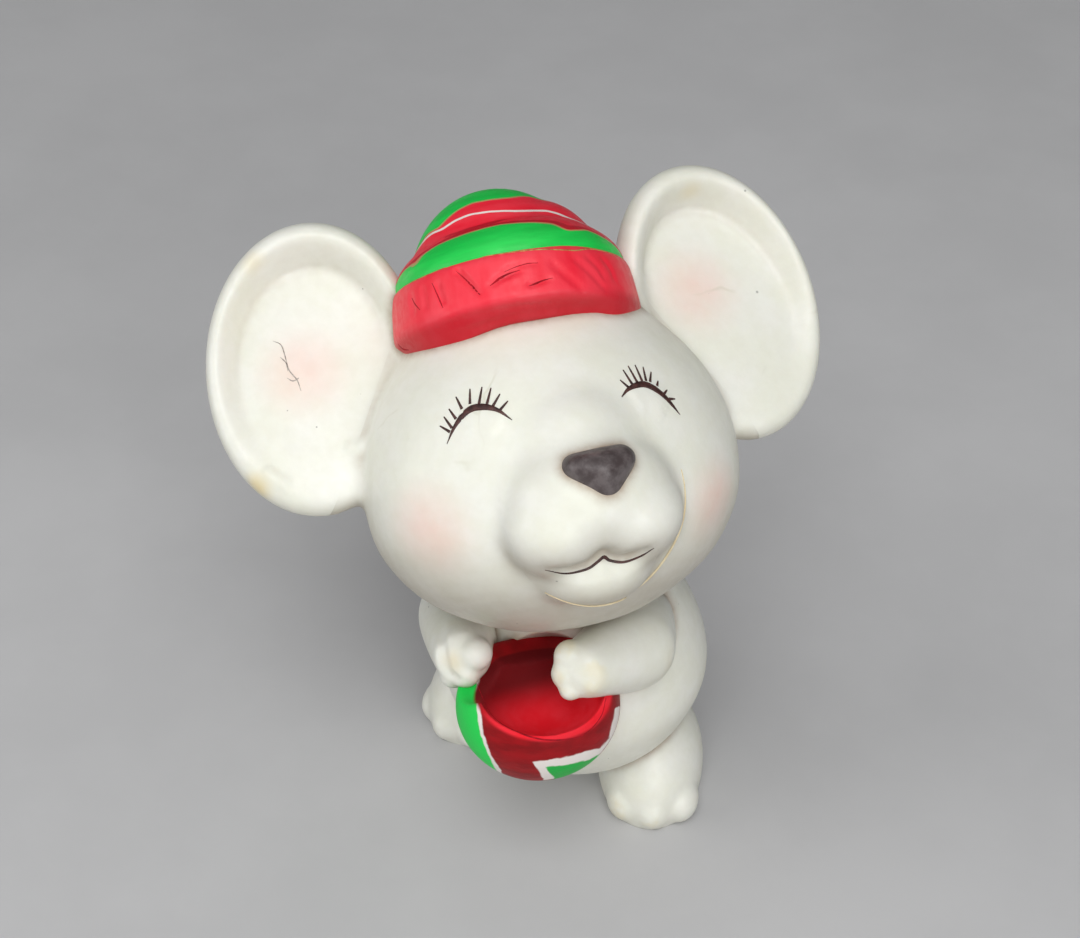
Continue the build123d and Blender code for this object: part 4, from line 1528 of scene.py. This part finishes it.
# %% Dark brown and line paints
nose_paint, tree, shader, where = new_material("nose_brown_enamel")
marks = use_group(tree, mottle_group, Vector=where, Scale=1100.0)
chips = use_group(tree, speck_group, Vector=where, Scale=1500.0, Amount=0.22, Size=0.4)
chips = sums(tree, "MULTIPLY", chips, ramp(tree, attribute(tree, "crease"), -0.2, -0.7))
colour = blend(tree, marks, rgb(0.06, 0.046, 0.046), rgb(0.13, 0.11, 0.11))
colour = blend(tree, chips, colour, rgb(0.42, 0.34, 0.28))
enamel_finish(tree, shader, where, colour, marks)

line_paint, tree, shader, where = new_material("face_line_enamel")
marks = use_group(tree, mottle_group, Vector=where, Scale=2500.0)
colour = blend(tree, marks, rgb(0.03, 0.014, 0.013), rgb(0.09, 0.035, 0.03))
enamel_finish(tree, shader, where, colour, marks)


def line_finish(name, scale, dark, light, roughness, specular=0.5):
    """An uneven dull paint for thin worn lines."""
    material, tree, shader, where = new_material(name)
    marks = use_group(tree, mottle_group, Vector=where, Scale=scale)
    feed(tree, shader, {
        "Base Color": blend(tree, marks, rgb(*dark), rgb(*light)),
        "Roughness": sums(tree, "MULTIPLY_ADD", marks, 0.2, roughness), "Specular IOR Level": specular,
    })
    return material


seam_tint = line_finish("seam_tan", 600.0, (0.62, 0.50, 0.30), (0.78, 0.68, 0.46), 0.4)
scratch_tint = line_finish("scratch_dirt", 3000.0, (0.12, 0.09, 0.08), (0.5, 0.45, 0.4), 0.6)
# This dark crimson paints the rim line of the stocking and the painted shade in the cuff's slits.
crimson_line_and_slit_shade = line_finish(
    "crimson_line_enamel_and_slit_shade", 1800.0, (0.20, 0.001, 0.006), (0.42, 0.004, 0.015), 0.65, 0.2
)
edge_tint = line_finish("paint_edge_tan", 1500.0, (0.40, 0.10, 0.04), (0.52, 0.42, 0.14), 0.65, 0.2)
line_paints = (nose_paint, line_paint, seam_tint, scratch_tint, crimson_line_and_slit_shade, edge_tint)
print("line materials:", ", ".join(paint.name for paint in line_paints))

# %% Put the finishes on
FINISHES = {cuff: cuff_paint, crown: crown_paint, stocking: stocking_paint, nose: nose_paint}
FINISHES.update({eye_right: line_paint, eye_left: line_paint, mouth_paint: line_paint})
FINISHES.update({muzzle_seam: seam_tint, ear_scratch: scratch_tint, cuff_edge: edge_tint})
FINISHES.update({cuff_slit_shade: crimson_line_and_slit_shade, rim_edge: crimson_line_and_slit_shade, belly_dab: cuff_paint})
for piece in [row[0] for row in PIECES + PAINT]:
    piece.data.materials.clear()
    piece.data.materials.append(FINISHES.get(piece, ivory_vinyl))
print("finished pieces:", len(PIECES) + len(PAINT))


# %% [markdown]
# ## Floor and light
#
# A pale floor and one big soft lamp overhead give the plain studio light of
# the photo: bright tops, dark undersides and a soft shadow at the feet. A
# weaker lamp in front keeps the face readable, and two low ones light the
# paws, the stocking and the feet from the left and the right.

# %% Floor
floor = named(added(bpy.ops.mesh.primitive_plane_add, size=6), "floor")
floor_paper, tree, shader, where = new_material("floor_paper")
paper = use_group(tree, mottle_group, Vector=where, Scale=40.0)
paper_grey = blend(tree, paper, rgb(0.50, 0.50, 0.505), rgb(0.53, 0.53, 0.535))
feed(tree, shader, {"Base Color": paper_grey, "Roughness": 0.9})
floor.data.materials.append(floor_paper)
print("floor:", floor.name)

# %% Lamps and world
LAMPS = (
    ("lamp_overhead", (-0.03, -0.08, 0.58), 0.7, 1.35),
    ("lamp_key", (0.12, -0.25, 0.45), 0.3, 1.05),
    ("lamp_low_left", (-0.34, -0.30, 0.16), 0.3, 0.72),
    ("lamp_low_right", (0.32, -0.28, 0.16), 0.3, 0.95),
)
LAMP_TARGET = Vector((6, -7, 30)) * MM
for name, place, size, power in LAMPS:
    lamp = added(bpy.ops.object.light_add, type="AREA", location=place)
    lamp.name = name
    lamp.rotation_euler = (LAMP_TARGET - lamp.location).to_track_quat("-Z", "Y").to_euler()
    lamp.data.size = size
    lamp.data.energy = power
world = bpy.data.worlds.new("soft_room")
bpy.context.scene.world = world
world.use_nodes = True
background = world.node_tree.nodes["Background"]
feed(world.node_tree, background, {"Color": rgb(0.9, 0.93, 1.0), "Strength": 0.05})
bpy.context.scene.view_settings.view_transform = "Standard"
print("lamps:", len(LAMPS))
